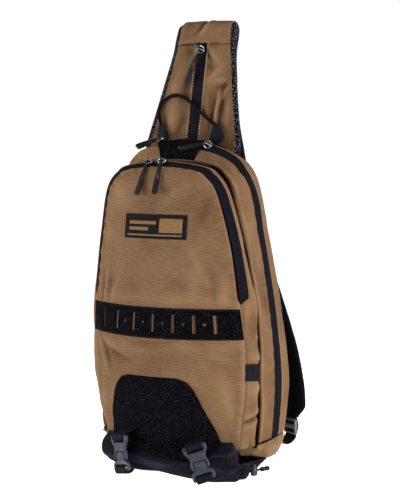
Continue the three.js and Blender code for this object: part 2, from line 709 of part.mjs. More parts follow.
/** The padded strap: mesh pad, canvas face in two panels, its zip, and the webbing to the lower buckle. */
function addStrap() {
  const half = STRAP_THICKNESS / 2;
  const pad = (side) => (u, v) => strapPoint(strapPace(u), 2 * v - 1, side * half * strapEdge(2 * v - 1));
  add("strap_pad", slab(pad(1), pad(-1), STRAP_STEPS, 4), mesh3d);

  const seam = stepNear(strapPace, STRAP_STEPS, strapShare(552));
  const zipHalf = (t) => STRAP_ZIP_WIDTH / strapWidth(strapCurve.getUtoTmapping(t));
  const skin = (from, to, low, high, height) => (u, v) => {
    const t = strapPace(mix(from, to, u));
    const across = mix(low(t), high(t), v);
    const rise = from < seam ? foldDepth(STRAP_FOLDS, across, strapCurve.getPointAt(t).z, "across", "z") : 0;
    return strapPoint(t, across, half * strapEdge(across) + height + rise);
  };
  const edge = 0.93;
  const layers = [
    { name: "strap_face_left", from: 0, to: seam, low: () => -edge, high: (t) => -zipHalf(t) - 0.01, material: canvas },
    { name: "strap_face_right", from: 0, to: seam, low: (t) => zipHalf(t) + 0.01, high: () => edge, material: canvas },
    { name: "strap_zip", from: 0, to: seam, low: (t) => -zipHalf(t), high: zipHalf, material: zipTape },
    { name: "strap_cap", from: seam + GAP / 1000, to: 1, low: () => -edge, high: () => edge, material: canvas },
  ];
  for (const { name, from, to, low, high, material } of layers) {
    const steps = Math.round((to - from) * STRAP_STEPS);
    add(name, slab(skin(from, to, low, high, LIFT + TRIM_WALL), skin(from, to, low, high, LIFT), steps, 3), material);
  }
}

/** Lower end of the strap: webbing, a side-release buckle seen edge on, and the anchor sewn to the bag's corner. */
function addStrapEnd() {
  const sideways = V(0.85, -0.53, 0);
  const down = [
    [116.9, 105.4, 38.8],
    [119, 104.6, 33],
    [121.2, 103.2, 26],
  ];
  add("strap_end_webbing", strip(down, WEBBING_WIDTH, V(0.97, -0.24, 0), sideways, 2.4, 4), webbing);
  const buckle = new THREE.Group();
  buckle.position.set(122.5, 102, 12.5);
  buckle.rotation.set(0, 0, Math.atan2(sideways.y, sideways.x));
  pack.add(buckle);
  add("strap_buckle", ladderLock(), greyPlastic, buckle);
  const anchor = [
    [122, 101.4, -1.6],
    [119, 96, -8],
    [114, 87, -10],
    [109, 79, -5],
    [107, 75.4, 3],
    [106.5, 75.6, 12],
  ];
  add("anchor_webbing", strip(anchor, WEBBING_WIDTH, sideways, V(1, 0, 0), 2.4, 8), webbing);
}

/** A flat adjuster: a frame with two slots and a middle bar. */
function ladderLock() {
  const frame = roundedRectangle(0, 0, 34, 26, 4);
  for (const z of [-6.5, 6.5]) frame.holes.push(roundedRectangle(0, z, 26, 6, 1.5));
  return plate(frame, 5, 1);
}

/** Stowage pouch: a trough of cloth under the front edge, gathered at its +X end, and its draw cord and lock. */
function addPouch() {
  const profile = new THREE.CatmullRomCurve3(POUCH_PROFILE.map((p) => V(0, p.y, p.z)), false, "centripetal");
  const surface = (u, v) => {
    const x = mix(POUCH.left, POUCH.right, u);
    const p = profile.getPoint(THREE.MathUtils.clamp(v, 0, 1));
    const toSeam = (frontY(x, POUCH_PROFILE[0].z) - 2.2 - POUCH_PROFILE[0].y) * Math.max(0, 1 - v) ** 1.5;
    const seams = mix(POUCH_PROFILE[0].z, POUCH_PROFILE.at(-1).z, v);
    const open = ramp(u, -0.2, POUCH.leftTaper) * ramp(1 - u, -0.15, POUCH.rightTaper);
    const gather = POUCH.gatherDepth * Math.sin(2 * Math.PI * POUCH.gathers * v) * ramp(u, 0.72, 1) * 4 * v * (1 - v);
    const sag = POUCH.sag * (u - 0.5) * Math.sin(Math.PI * v);
    return V(x, p.y + toSeam, mix(seams, p.z, open) - sag + gather);
  };
  add("base_pouch", wall(surface, 1, 1.6, 14, 10), webbing);

  add("draw_cord", cord(DRAW_CORD, DRAW_CORD_DIAMETER, 4, 8), cordage);
}

/** The cord lock on the draw cord: a barrel with the cord's passage through it, and its button. */
function addCordLock() {
  const lock = new THREE.Group();
  const [before, after] = [V(...DRAW_CORD[3]), V(...DRAW_CORD[4])];
  lock.position.copy(before).lerp(after, 0.5);
  lock.rotation.z = Math.atan2(after.y - before.y, after.x - before.x);
  pack.add(lock);
  const profile = [
    [0, -9],
    [4.5, -9],
    [6, -7],
    [6, 5],
    [4.8, 6.5],
    [3.4, 6.5],
    [3.4, 10],
    [2.4, 11],
    [0, 11],
  ];
  const barrel = new THREE.LatheGeometry(profile.map(([r, z]) => new THREE.Vector2(r, z)), 12).rotateX(Math.PI / 2);
  const passage = new THREE.CylinderGeometry(DRAW_CORD_DIAMETER / 2 + 0.7, DRAW_CORD_DIAMETER / 2 + 0.7, 20, 10).rotateZ(Math.PI / 2);
  add("cord_lock", cut(barrel, passage), greyPlastic, lock);

  const [last, previous] = [DRAW_CORD.at(-1), DRAW_CORD.at(-2)].map((p) => V(...p));
  const along = last.clone().sub(previous).normalize();
  const tip = new THREE.Mesh(new THREE.CapsuleGeometry(3.2, 8, 3, 10), cordage);
  tip.name = "cord_end";
  tip.position.copy(last).addScaledVector(along, 4 + 3.2 + GAP);
  tip.quaternion.setFromUnitVectors(V(0, 1, 0), along);
  pack.add(tip);
}

/** A side-release buckle in its own frame: X across, Z along the strap, -Y outwards. Its two halves are fastened. */
function addBaseBuckles() {
  for (const row of BASE_BUCKLES) {
    const buckle = new THREE.Group();
    buckle.position.set(...row.at);
    buckle.rotation.set(0, THREE.MathUtils.degToRad(-row.lean), THREE.MathUtils.degToRad(row.turn), "ZYX");
    buckle.scale.setScalar(BUCKLE_SCALE);
    pack.add(buckle);
    add(`buckle_${row.name}_plug`, plate(plugOutline(), BUCKLE_THICKNESS), greyPlastic, buckle);
    add(`buckle_${row.name}_socket`, plate(socketOutline(), BUCKLE_THICKNESS), greyPlastic, buckle);
    buckle.updateMatrix();
    const across = V(1, 0, 0).applyQuaternion(buckle.quaternion);
    const place = (points) => points.map((p) => V(...p).applyMatrix4(buckle.matrix).toArray());
    const width = WEBBING_WIDTH * BUCKLE_SCALE;
    const sewn = frontPoint(row.seat.x, row.seat.z).add(V(0, -SEWN_CLEAR, 0)).toArray();
    const upper = place([
      [0, 1, 31.8],
      [0, -4.4, 29],
      [0, -4.6, 24],
      [0, -1, 20.4],
      [0, 5, 21.4],
      [0, 8, 23],
    ]);
    upper.unshift(sewn);
    add(`base_webbing_${row.name}_upper`, strip(upper, width, across, across, 1.5, 14), webbing);
    const lower = place([
      [0, 6, -23],
      [0, 0, -24.6],
      [0, -4.4, -27.4],
      [0, -4.8, -31.5],
      [0, -3.4, -36],
      [0, 1, -37.5],
      [0, 8, -36],
      [0, 14, -31],
    ]);
    add(`base_webbing_${row.name}_lower`, strip(lower, width, across, across, 1.5, 12), webbing);
  }
}

/** Upper half: a strap slot, a tapering neck and two prongs. */
function plugOutline() {
  const half = [
    [18, 29],
    [18, 18],
    [14, 11],
    [12, 5],
    [14.5, -5],
    [13.5, -12],
    [11, -14.5],
    [9.9, -13.5],
    [11, -6],
    [9, 0.6],
  ];
  const shape = mirroredShape(half);
  shape.holes.push(roundedRectangle(0, 20.5, 27, 8, 1.5));
  return shape;
}

/** Lower half: a tongue between the prongs, shoulders and a strap slot. */
function socketOutline() {
  const half = [
    [7.6, 0],
    [9.4, -6],
    [8.4, -15.5],
    [14.5, -16.5],
    [17.5, -21],
    [17.5, -31.5],
    [15.5, -33.5],
  ];
  const shape = mirroredShape(half);
  shape.holes.push(roundedRectangle(0, -25.5, 27, 7, 1.5));
  return shape;
}

/** A closed outline from its +x half, top first. */
function mirroredShape(half) {
  const points = [...half, ...half.slice().reverse().map(([x, z]) => [-x, z])];
  return new THREE.Shape(points.map(([x, z]) => new THREE.Vector2(x, z)));
}

/** Zip sliders and pulls. A head's frame has the slider's bar along X, outwards along Y and its pull along -Z. */
function addZipHeads() {
  for (const head of ZIP_HEADS) {
    const { at, out } = zipSeat(head);
    const hang = V(...head.toward).sub(at).normalize();
    const bar = hang.clone().cross(out).normalize();
    const turned = (up, down) => new THREE.Matrix4().makeBasis(bar, up, down.clone().negate()).setPosition(at);
    const flat = out.clone().cross(bar).normalize();
    const outward = bar.clone().cross(hang).normalize();
    add(`${head.name}_slider`, sliderShape().applyMatrix4(turned(out, flat)), nickel);
    add(`${head.name}_pull`, pullShape().applyMatrix4(turned(outward, hang)), pullRubber);
  }
}

const SLIDER = { length: 11, width: 9, base: 2.2, opening: 3, bar: 1.4 };
const SLIDER_RISE = SLIDER.bar / 2 + SLIDER.opening + SLIDER.base; // from its foot to its bar's middle

/** Where a slider's bar sits above its zip, and the zip's outward direction. */
function zipSeat(head) {
  const clear = SLIDER_RISE + LIFT;
  if (head.on === "strap") {
    const t = strapShare(542);
    const foot = strapPoint(t, 0, STRAP_THICKNESS / 2);
    const out = strapPoint(t, 0, STRAP_THICKNESS / 2 + 1).sub(foot);
    return { at: foot.addScaledVector(out, clear + LIFT + TRIM_WALL), out };
  }
  const arch = head.on === "main" ? mainArch : pocketArch;
  const onHalf = findOn(arch, (p) => p.x < Math.abs(head.x));
  const t = head.x < 0 ? 1 - onHalf : onHalf;
  const surface = (u, v) => (head.on === "main" ? sidePoint(mainArch, u, v) : pocketPoint(u, v));
  const s = head.on === "main" ? zipShare(t) : BEVEL_SHARE / 2;
  const out = normalOf(surface, -1)(t, s);
  const onYoke = head.on === "main" ? LIFT + TRIM_WALL : 0;
  return { at: surface(t, s).addScaledVector(out, clear + onYoke), out };
}

/** A slider: a plate with a bridge over it, the bridge's bar at the origin. */
function sliderShape() {
  const { length, width, base, opening, bar } = SLIDER;
  const body = plate(roundedRectangle(0, 0, length, width, 3), base, 1).translate(0, base / 2 - SLIDER_RISE, 0);
  const height = bar + opening + base / 2;
  const arch = roundedRectangle(0, bar / 2 - height / 2, 8, height, 1);
  arch.holes.push(roundedRectangle(0, -(bar + opening) / 2, 5.2, opening, 0.6));
  const bridge = new THREE.ExtrudeGeometry(arch, { depth: bar, bevelEnabled: false, curveSegments: 1 });
  return join(body, bridge.translate(0, 0, -bar / 2));
}

/** A pull: a cord loop round the slider's bar and a moulded tab with a window. */
function pullShape() {
  const loop = new THREE.TorusGeometry(3.3, 0.7, 4, 8).rotateY(Math.PI / 2).scale(1, 0.62, 1).translate(0, 0, -1.2);
  const tab = roundedRectangle(0, -24.5, 8, 40, 3.4);
  const window = [[-1.5, -16], [1.5, -16], [1.5, -9], [-1.5, -9]];
  tab.holes.push(new THREE.Path(window.map(([x, z]) => new THREE.Vector2(x, z))));
  return join(loop, plate(tab, 3, 1));
}

/** The haul loop and the tabs that hold its ends at the foot of the strap. */
function addHaulLoop() {
  add("haul_loop", cord(HAUL_LOOP, HAUL_CORD_DIAMETER, 3, 24), cordage);
  for (const [name, end] of [
    ["left", HAUL_LOOP[0]],
    ["right", HAUL_LOOP.at(-1)],
  ]) {
    const head = V(...end).add(V(0, -0.6, -1.9));
    const foot = head.clone().add(V(0, -3.3, -14));
    const path = [head.toArray(), head.clone().lerp(foot, 0.5).toArray(), foot.toArray()];
    add(`haul_tab_${name}`, strip(path, 17, V(1, 0, 0), V(1, 0, 0), 4, 2), webbing);
  }
}

addMainCompartment();
addBackPanel();
addPocket();
addFrontTrim();
addSideAndTop();
addStrap();
addStrapEnd();
addPouch();
addCordLock();
addBaseBuckles();
addZipHeads();
addHaulLoop();

// The part's origin is the inside of the strap's bend, where a peg or a shoulder carries it.
pack.position.set(0, -STRAP_BEND.y, -(STRAP_BEND.z + STRAP_BEND_RADIUS - STRAP_THICKNESS / 2));
const slingPack = new THREE.Group();
slingPack.name = "sling_pack";
slingPack.add(pack);

export default slingPack;
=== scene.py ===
"""Looks of the sling pack: canvas, trim, padding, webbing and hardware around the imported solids.

Shapes are worked out in millimetres in the pack's own frame, where z = 0 is near the bag's floor, x = 0 its
middle plane and -Y its front. They are moved to the hanging frame, in metres, when their meshes are made.
"""

import functools
import logging
import math
from dataclasses import dataclass
from enum import Enum, auto
from typing import Callable, Sequence

import bpy
import numpy as np
from mathutils import Matrix

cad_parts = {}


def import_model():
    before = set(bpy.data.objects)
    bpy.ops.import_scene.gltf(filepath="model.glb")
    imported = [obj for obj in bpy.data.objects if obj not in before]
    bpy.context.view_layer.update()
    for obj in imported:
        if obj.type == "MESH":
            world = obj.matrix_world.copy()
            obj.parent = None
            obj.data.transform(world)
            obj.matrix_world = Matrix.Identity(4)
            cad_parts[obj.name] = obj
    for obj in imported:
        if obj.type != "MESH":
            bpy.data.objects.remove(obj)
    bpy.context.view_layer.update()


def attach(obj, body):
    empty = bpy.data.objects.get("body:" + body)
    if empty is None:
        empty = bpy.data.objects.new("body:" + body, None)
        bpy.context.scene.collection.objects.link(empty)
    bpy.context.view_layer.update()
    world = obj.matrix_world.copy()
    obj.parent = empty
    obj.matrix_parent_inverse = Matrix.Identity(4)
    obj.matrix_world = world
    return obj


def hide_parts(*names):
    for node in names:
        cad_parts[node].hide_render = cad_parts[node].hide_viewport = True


Array = np.ndarray
Material = bpy.types.Material
Colour = tuple[int, int, int]
Point = tuple[float, float, float]
Outline = Sequence[tuple[float, float]]
Line = Callable[[Array], Array]

LOG = logging.getLogger("sling_pack")
MM = 0.001
ROW_SHIFT = np.array([0.0, -97.0, -576.5])
HEM_STEPS = np.array([0, 0.12, 0.3, 0.55, 0.8, 1.0])
HALF_EDGE = 0.08
DOME = 0.4
UP = np.array([0, 0, 1.0])
CRISP = 35.0


class Slot(Enum):
    """The record's material slots."""

    CANVAS = "canvas"
    WEBBING = "webbing"
    LOOP = "loop_cloth"
    MESH = "spacer_mesh"
    ZIP = "zip_tape"
    BADGE = "badge_cloth"
    PLASTIC = "grey_plastic"
    RUBBER = "pull_rubber"
    NICKEL = "nickel"
    CORD = "cordage"


class Edge(Enum):
    """The edges of a cloth grid that are sewn: its first row, and its first and last columns."""

    START_U = auto()
    START_V = auto()
    END_V = auto()


class ZipLine(Enum):
    """The pack's three zips."""

    MAIN = auto()
    POCKET = auto()
    STRAP = auto()


# Numbers and curves


def mix(a: Array, b: Array, w: Array) -> Array:
    """a at w = 0, b at w = 1, on a straight line."""
    return a + (b - a) * w


def ramp(x: Array, low: float, high: float) -> Array:
    """0 below low, 1 above high, and a smooth cubic step between."""
    t = np.clip((np.asarray(x, float) - low) / (high - low), 0, 1)
    return t * t * (3 - 2 * t)


def bell(x: Array, width: Array | float) -> Array:
    """1 at x = 0, dying away on both sides as e to the minus square of x / width."""
    return np.exp(-((x / width) ** 2))


def arc(x: Array) -> Array:
    """0 at x = 0, rising to 1 at x = 1 along the quarter of an ellipse."""
    return 1 - np.sqrt(np.clip(1 - x**2, 0, 1))


def unit(v: Array) -> Array:
    """Vectors along the last axis, scaled to length 1."""
    return v / np.maximum(np.linalg.norm(v, axis=-1, keepdims=True), 1e-12)


def walked(points: Array) -> Array:
    """Length walked along a line of points, from 0 at the first."""
    return np.r_[0, np.cumsum(np.linalg.norm(np.diff(points, axis=0), axis=1))]


def sampled(at: Array, far: Array, rows: Array) -> Array:
    """A table's rows at the lengths asked for, on straight lines between its own lengths."""
    return np.stack([np.interp(at, far, column) for column in rows.T], -1)


def full_turn(count: int) -> Array:
    """Angles in even steps once round a circle."""
    return np.linspace(0, 2 * np.pi, count, endpoint=False)


@dataclass(frozen=True)
class Column:
    """One column of a size table against its key.

    Formula: a cubic between neighbouring rows, whose slope at a row is that of the line through the rows on
    either side of it; level beyond the first and the last row.
    """

    keys: Sequence[float]
    values: Sequence[float]

    def __call__(self, key: Array) -> Array:
        """The column's value at each key.

        Args: key: numbers like the table's keys.

        Returns: a value for each.
        """
        k, v = np.asarray(self.keys, float), np.asarray(self.values, float)
        last = len(k) - 1
        low = np.maximum(np.arange(last + 1) - 1, 0)
        high = np.minimum(np.arange(last + 1) + 1, last)
        slope = (v[high] - v[low]) / (k[high] - k[low])
        q = np.clip(key, k[0], k[-1])
        i = np.clip(np.searchsorted(k, q, side="right") - 1, 0, last - 1)
        span = k[i + 1] - k[i]
        w = (q - k[i]) / span
        m0, m1, rise = slope[i] * span, slope[i + 1] * span, v[i + 1] - v[i]
        return v[i] + m0 * w + (3 * rise - 2 * m0 - m1) * w**2 + (m0 + m1 - 2 * rise) * w**3


def columns(rows: Sequence[Sequence[float]]) -> list[Column]:
    """The columns of a table whose first number in each row is the key."""
    keys, *rest = zip(*rows)
    return [Column(keys, values) for values in rest]


class Arch:
    """A half outline in XZ and its mirror image as one open curve, walked by its length from that half.

    Formula: a Catmull-Rom spline through the points, with its end points repeated.
    """

    def __init__(self, half: Outline, steps: int = 6000) -> None:
        """Args: half: (x, z) from one end to the middle. steps: of the curve."""
        h = np.asarray(half, float)
        p = np.concatenate([h, h[-2::-1] * [-1, 1]])
        last = len(p) - 1
        q = np.linspace(0, last, steps + 1)
        i = np.minimum(q.astype(int), last - 1)
        w = (q - i)[:, None]
        p0, p1, p2, p3 = (p[np.clip(i + k, 0, last)] for k in (-1, 0, 1, 2))
        v0, v1 = (p2 - p0) / 2, (p3 - p1) / 2
        cubic, square = 2 * p1 - 2 * p2 + v0 + v1, 3 * p2 - 3 * p1 - 2 * v0 - v1
        self.points = cubic * w**3 + square * w**2 + v0 * w + p1
        self.far = walked(self.points)
        self.length = float(self.far[-1])
        along = unit(np.gradient(self.points, axis=0))
        self.out = np.stack([along[:, 1], -along[:, 0]], -1)

    def at(self, t: Array) -> tuple[Array, Array, Array, Array]:
        """x, z and the outward direction's x and z at each share t of the length.

        Args: t: shares from 0 to 1.

        Returns: four arrays of t's shape.
        """
        q = np.clip(t, 0, 1) * self.length
        x, z, out_x, out_z = (np.interp(q, self.far, c) for c in (*self.points.T, *self.out.T))
        return x, z, out_x, out_z

    def inner(self, t: Array, inset: Array | float) -> tuple[Array, Array]:
        """x and z of the line inset mm inside the outline, at each share t."""
        x, z, out_x, out_z = self.at(t)
        return x - out_x * inset, z - out_z * inset

    def share(self, test: Callable[[Array, Array], Array]) -> float:
        """The first share on the half that was given where test(x, z) holds.

        Args: test: of whole arrays of x and z.

        Returns: the share of the length.
        """
        t = np.linspace(0, 0.5, 4001)
        x, z, _, _ = self.at(t)
        return float(t[int(np.argmax(test(x, z)))])


class Spline:
    """A smooth curve through points in space, walked by its length.

    Formula: a centripetal Catmull-Rom spline, its ends carried on in a straight line.
    """

    def __init__(self, points: Sequence[Sequence[float]], steps: int = 160) -> None:
        """Args: points: what the curve passes through. steps: from one point to the next."""
        p = np.asarray(points, float)
        p = np.concatenate([[2 * p[0] - p[1]], p, [2 * p[-1] - p[-2]]])
        last = len(p) - 3
        q = np.linspace(0, last, steps * last + 1)
        i = np.minimum(q.astype(int), last - 1)
        w = (q - i)[:, None]
        p0, p1, p2, p3 = (p[i + k] for k in range(4))
        spans = ((p0, p1), (p1, p2), (p2, p3))
        d0, d1, d2 = (np.sqrt(np.linalg.norm(b - a, axis=1))[:, None] for a, b in spans)
        t1 = d1 * ((p1 - p0) / d0 - (p2 - p0) / (d0 + d1) + (p2 - p1) / d1)
        t2 = d1 * ((p2 - p1) / d1 - (p3 - p1) / (d1 + d2) + (p3 - p2) / d2)
        square, cubic = 3 * p2 - 3 * p1 - 2 * t1 - t2, 2 * p1 - 2 * p2 + t1 + t2
        self.points = p1 + t1 * w + square * w**2 + cubic * w**3
        self.rows = q / last
        self.far = walked(self.points)
        self.length = float(self.far[-1])
        self.along = unit(np.gradient(self.points, axis=0))

    def at(self, t: Array) -> Array:
        """Points at shares t of the length."""
        return sampled(np.clip(t, 0, 1) * self.length, self.far, self.points)

    def tangent(self, t: Array) -> Array:
        """Unit directions of travel at shares t."""
        return unit(sampled(np.clip(t, 0, 1) * self.length, self.far, self.along))

    def row(self, t: Array) -> Array:
        """How far through the given points, from 0 to 1, the shares t come."""
        return np.interp(np.clip(t, 0, 1) * self.length, self.far, self.rows)


@dataclass(frozen=True)
class Wave:
    """A layer of soft waves: its height, the distance between its bumps and a shift to other noise, in mm."""

    height: float
    pitch: float | Point
    shift: float = 0.0


class Crumple:
    """Smooth noise in space, the same on each run.

    Formula: seeded random numbers on a lattice that repeats, joined by smooth steps between its corners.
    """

    def __init__(self, seed: int, size: int = 24) -> None:
        """Args: seed: which noise. size: lattice steps before it repeats."""
        self.lattice = np.random.default_rng(seed).uniform(-1, 1, (size, size, size))

    def __call__(self, points: Array, pitch: float | Point) -> Array:
        """Noise from about -1 to 1 at points, with bumps about pitch apart.

        Args: points: (..., 3) in mm. pitch: one distance, or one for each axis.

        Returns: a number for each point.
        """
        q = np.asarray(points) / np.asarray(pitch, float)
        i = np.floor(q).astype(int)
        w = q - i
        w = w * w * (3 - 2 * w)
        total = np.zeros(q.shape[:-1])
        for corner in np.ndindex(2, 2, 2):
            c = (i + corner) % len(self.lattice)
            weight = np.prod(np.where(corner, w, 1 - w), axis=-1)
            total += weight * self.lattice[c[..., 0], c[..., 1], c[..., 2]]
        return total

    def waves(self, points: Array, *layers: Wave) -> Array:
        """Heights of layers of waves at points, added up."""
        return sum(layer.height * self(points + layer.shift, layer.pitch) for layer in layers)

    def creases(self, points: Array, pitch: float | Point) -> Array:
        """Narrow ridges from 0 to 1 where the noise crosses zero: the cube of the nearness to it."""
        return (1 - np.minimum(1, np.abs(self(points, pitch)) * 1.6)) ** 3.0


@dataclass(frozen=True)
class Fold:
    """A soft fold: its middle (a, b), its direction in degrees, half length, half width and height."""

    a: float
    b: float
    turn: float
    length: float
    width: float
    height: float

    def rise(self, a: Array, b: Array) -> Array:
        """Height at (a, b): a bell along the fold times a bell across it.

        Args: a, b: places, in the fold's own two directions of measure.

        Returns: heights in mm.
        """
        turn = math.radians(self.turn)
        da, db = a - self.a, b - self.b
        along = (da * math.cos(turn) + db * math.sin(turn)) / self.length
        across = (db * math.cos(turn) - da * math.sin(turn)) / self.width
        return self.height * np.exp(-(along**2) - across**2)


def folds(*rows: Sequence[float]) -> tuple[Fold, ...]:
    """Folds from the rows of a table: a, b, direction in degrees, half length, half width, height."""
    return tuple(Fold(*row) for row in rows)


def rise_of(rows: Sequence[Fold], a: Array, b: Array) -> Array:
    """The folds' heights at (a, b), added up."""
    return sum((fold.rise(a, b) for fold in rows), np.zeros(np.broadcast(a, b).shape))


def spaced(count: int, length: float, hem: float) -> Array:
    """Shares from 0 to 1 in even steps, with closer ones in the last few millimetres at both ends.

    Args: count: even steps. length: whole length in mm. hem: depth of the closer steps in mm.

    Returns: rising shares.
    """
    near = HEM_STEPS * min(hem / length, 0.3)
    return np.concatenate([near, np.linspace(near[-1], 1 - near[-1], count)[1:-1], 1 - near[::-1]])


# Meshes


@dataclass
class Solid:
    """A closed shape: points in mm, faces of three or four corners, and each point's flat place and painted
    shading.
    """

    points: Array
    faces: list[Array]
    uv: Array
    wear_and_painted_shading: Array | None = None

    def facing_out(self) -> "Solid":
        """The same solid with its faces turned to point outwards, by the sign of its volume.

        Returns: itself.
        """
        volume = 0.0
        centre = self.points.mean(0)
        for f in self.faces:
            p = self.points[f] - centre
            for k in range(1, f.shape[1] - 1):
                volume += float(np.einsum("ij,ij->", p[:, 0], np.cross(p[:, k], p[:, k + 1])))
        if volume < 0:
            self.faces = [f[:, ::-1] for f in self.faces]
        return self

    def moved(self, by: Sequence[float]) -> "Solid":
        """The solid moved in a straight line."""
        return Solid(self.points + np.asarray(by), self.faces, self.uv, self.wear_and_painted_shading)

    def turned(self, matrix: Array, origin: Array) -> "Solid":
        """The solid with its points multiplied by the matrix's columns and set at origin."""
        points = self.points @ np.asarray(matrix, float).T + origin
        return Solid(points, self.faces, self.uv, self.wear_and_painted_shading).facing_out()


def shell(
    outer: Array, inner: Array, uv: Array, wear_and_painted_shading: Array | None = None, keep: Array | None = None
) -> Solid:
    """The closed solid between two grids of points.

    Args: outer, inner: (rows, columns, 3) in mm. uv: flat places. The painted shading: -1 for painted shade
    in a crease to 1 for a painted highlight on a ridge.
        keep: which cells are cloth.

    Returns: the solid, with a rim round its edge and each hole.
    """
    rows, count = outer.shape[:2]
    index = np.arange(rows * count).reshape(rows, count)
    keep = np.ones((rows - 1, count - 1), bool) if keep is None else keep
    a, b, c, d = index[:-1, :-1], index[1:, :-1], index[1:, 1:], index[:-1, 1:]
    far = rows * count
    tops = np.stack([a, b, c, d], -1)[keep]
    beside = np.pad(keep, 1)
    faces = [tops, tops[:, ::-1] + far]
    sides = (
        (a, b, beside[1:-1, :-2]),
        (b, c, beside[2:, 1:-1]),
        (c, d, beside[1:-1, 2:]),
        (d, a, beside[:-2, 1:-1]),
    )
    for first, second, neighbour in sides:
        bare = keep & ~neighbour
        f, s = first[bare], second[bare]
        faces.append(np.stack([s, f, f + far, s + far], -1))
    used, quads = np.unique(np.concatenate(faces), return_inverse=True)
    points = np.concatenate([outer.reshape(-1, 3), inner.reshape(-1, 3)])[used]
    flat = np.concatenate([uv.reshape(-1, 2)] * 2)[used]
    painted_light = None if wear_and_painted_shading is None else np.concatenate([wear_and_painted_shading.ravel()] * 2)[used]
    return Solid(points, [quads.reshape(-1, 4)], flat, painted_light).facing_out()


def ringed(rings: Array, tips: Array, uv: Array) -> Solid:
    """A closed body of rings, each joined to the next, with a fan from each end ring to a tip.

    Args: rings: (n, sides, 3). tips: two end points. uv: flat places of the rings' points, then the tips'.

    Returns: the solid.
    """
    n, sides = rings.shape[:2]
    index = np.arange(n * sides).reshape(n, sides)
    after = np.roll(index, -1, axis=1)
    body = np.stack([index[:-1], after[:-1], after[1:], index[1:]], -1).reshape(-1, 4)
    first = np.stack([after[0], index[0], np.full(sides, n * sides)], -1)
    last = np.stack([index[-1], after[-1], np.full(sides, n * sides + 1)], -1)
    return Solid(np.concatenate([rings.reshape(-1, 3), tips]), [body, first, last], uv).facing_out()


def tube(path: Array, radius: Array | float, sides: int, aside: Point, flat: float = 1.0) -> Solid:
    """A round bar along a path, with domed ends.

    Formula: a circle of the radius carried along the path, square to it, between two end points.

    Args: path: (n, 3). radius: one or n values. sides: of the circle. aside: a direction the path never
        takes. flat: thickness along aside as a share of the width.

    Returns: the solid, with its length along v.
    """
    along = unit(np.gradient(path, axis=0))
    across = unit(np.cross(along, np.asarray(aside, float)))
    up = np.cross(across, along)
    r = np.broadcast_to(np.asarray(radius, float), (len(path),))[:, None, None]
    turn = full_turn(sides)[None, :, None]
    rings = path[:, None] + r * (np.cos(turn) * across[:, None] + flat * np.sin(turn) * up[:, None])
    tips = np.stack([path[0] - along[0] * r[0, 0] * DOME, path[-1] + along[-1] * r[-1, 0] * DOME])
    round_way = np.broadcast_to(np.arange(sides) / sides * 2 * np.pi * r.mean(), (len(path), sides))
    far = np.repeat(walked(path)[:, None], sides, 1)
    uv = np.stack([round_way, far], -1).reshape(-1, 2)
    return ringed(rings, tips, np.concatenate([uv, np.zeros((2, 2))]))


def lathe(profile: Outline, sides: int) -> Solid:
    """A turned shape about Z: the outline of (radius, z), from the bottom up, carried round in a circle.

    Args: profile: in mm. sides: of the circle.

    Returns: the solid.
    """
    p = np.asarray(profile, float)
    turn = full_turn(sides)
    rings = np.stack([p[:, :1] * np.cos(turn), p[:, :1] * np.sin(turn), p[:, 1:] + 0 * turn], -1)
    tips = np.array([(0, 0, p[0, 1]), (0, 0, p[-1, 1])])
    return ringed(rings, tips, np.concatenate([rings.reshape(-1, 3), tips])[:, :2])


@dataclass(frozen=True)
class Stitch:
    """A sewn stitch: pitch, length and width in mm, and its bead's waist and section as shares of them."""

    pitch: float
    length: float
    width: float
    waist: float = 0.55
    section: tuple = ((1, 0.1), (0, 1), (-1, 0.1), (0, -0.8))

    def row(self, points: Array, normals: Array) -> Solid:
        """Stitches along a line on cloth.

        Formula: a small bead of four sides, pointed at both ends, set at even steps along the line and turned
        to it and to the cloth.

        Args: points, normals: the line, and the cloth's outward directions.

        Returns: all the stitches as one solid.
        """
        far = walked(points)
        at = np.arange(self.pitch / 2, far[-1], self.pitch)
        p = sampled(at, far, points)
        n = unit(sampled(at, far, normals))
        ahead = sampled(at + 0.5, far, points) - p
        along = unit(ahead - np.sum(ahead * n, -1, keepdims=True) * n)
        across = np.cross(n, along)
        h, w = self.length / 2, self.width / 2
        rings = [(x * h, y * w, z * w) for x in (-self.waist, self.waist) for y, z in self.section]
        bead = np.array([(-h, 0, 0), *rings, (h, 0, 0)])
        spread = p[:, None] + np.einsum("kc,cnj->nkj", bead, np.stack([along, across, n]))
        tips = [(0, 2, 1), (0, 3, 2), (0, 4, 3), (0, 1, 4), (9, 5, 6), (9, 6, 7), (9, 7, 8), (9, 8, 5)]
        waist = [(1, 2, 6, 5), (2, 3, 7, 6), (3, 4, 8, 7), (4, 1, 5, 8)]
        step = len(bead) * np.arange(len(p))[:, None, None]
        faces = [(np.array(f) + step).reshape(-1, len(f[0])) for f in (tips, waist)]
        return Solid(spread.reshape(-1, 3), faces, np.zeros((len(bead) * len(p), 2))).facing_out()


SEAM_STITCH = Stitch(3.2, 2.4, 0.55)
TRIM_STITCH = Stitch(3.0, 2.2, 0.5)
POUCH_STITCH = Stitch(3.0, 2.2, 0.6)
BOLD_STITCH = Stitch(3.9, 2.0, 1.6)


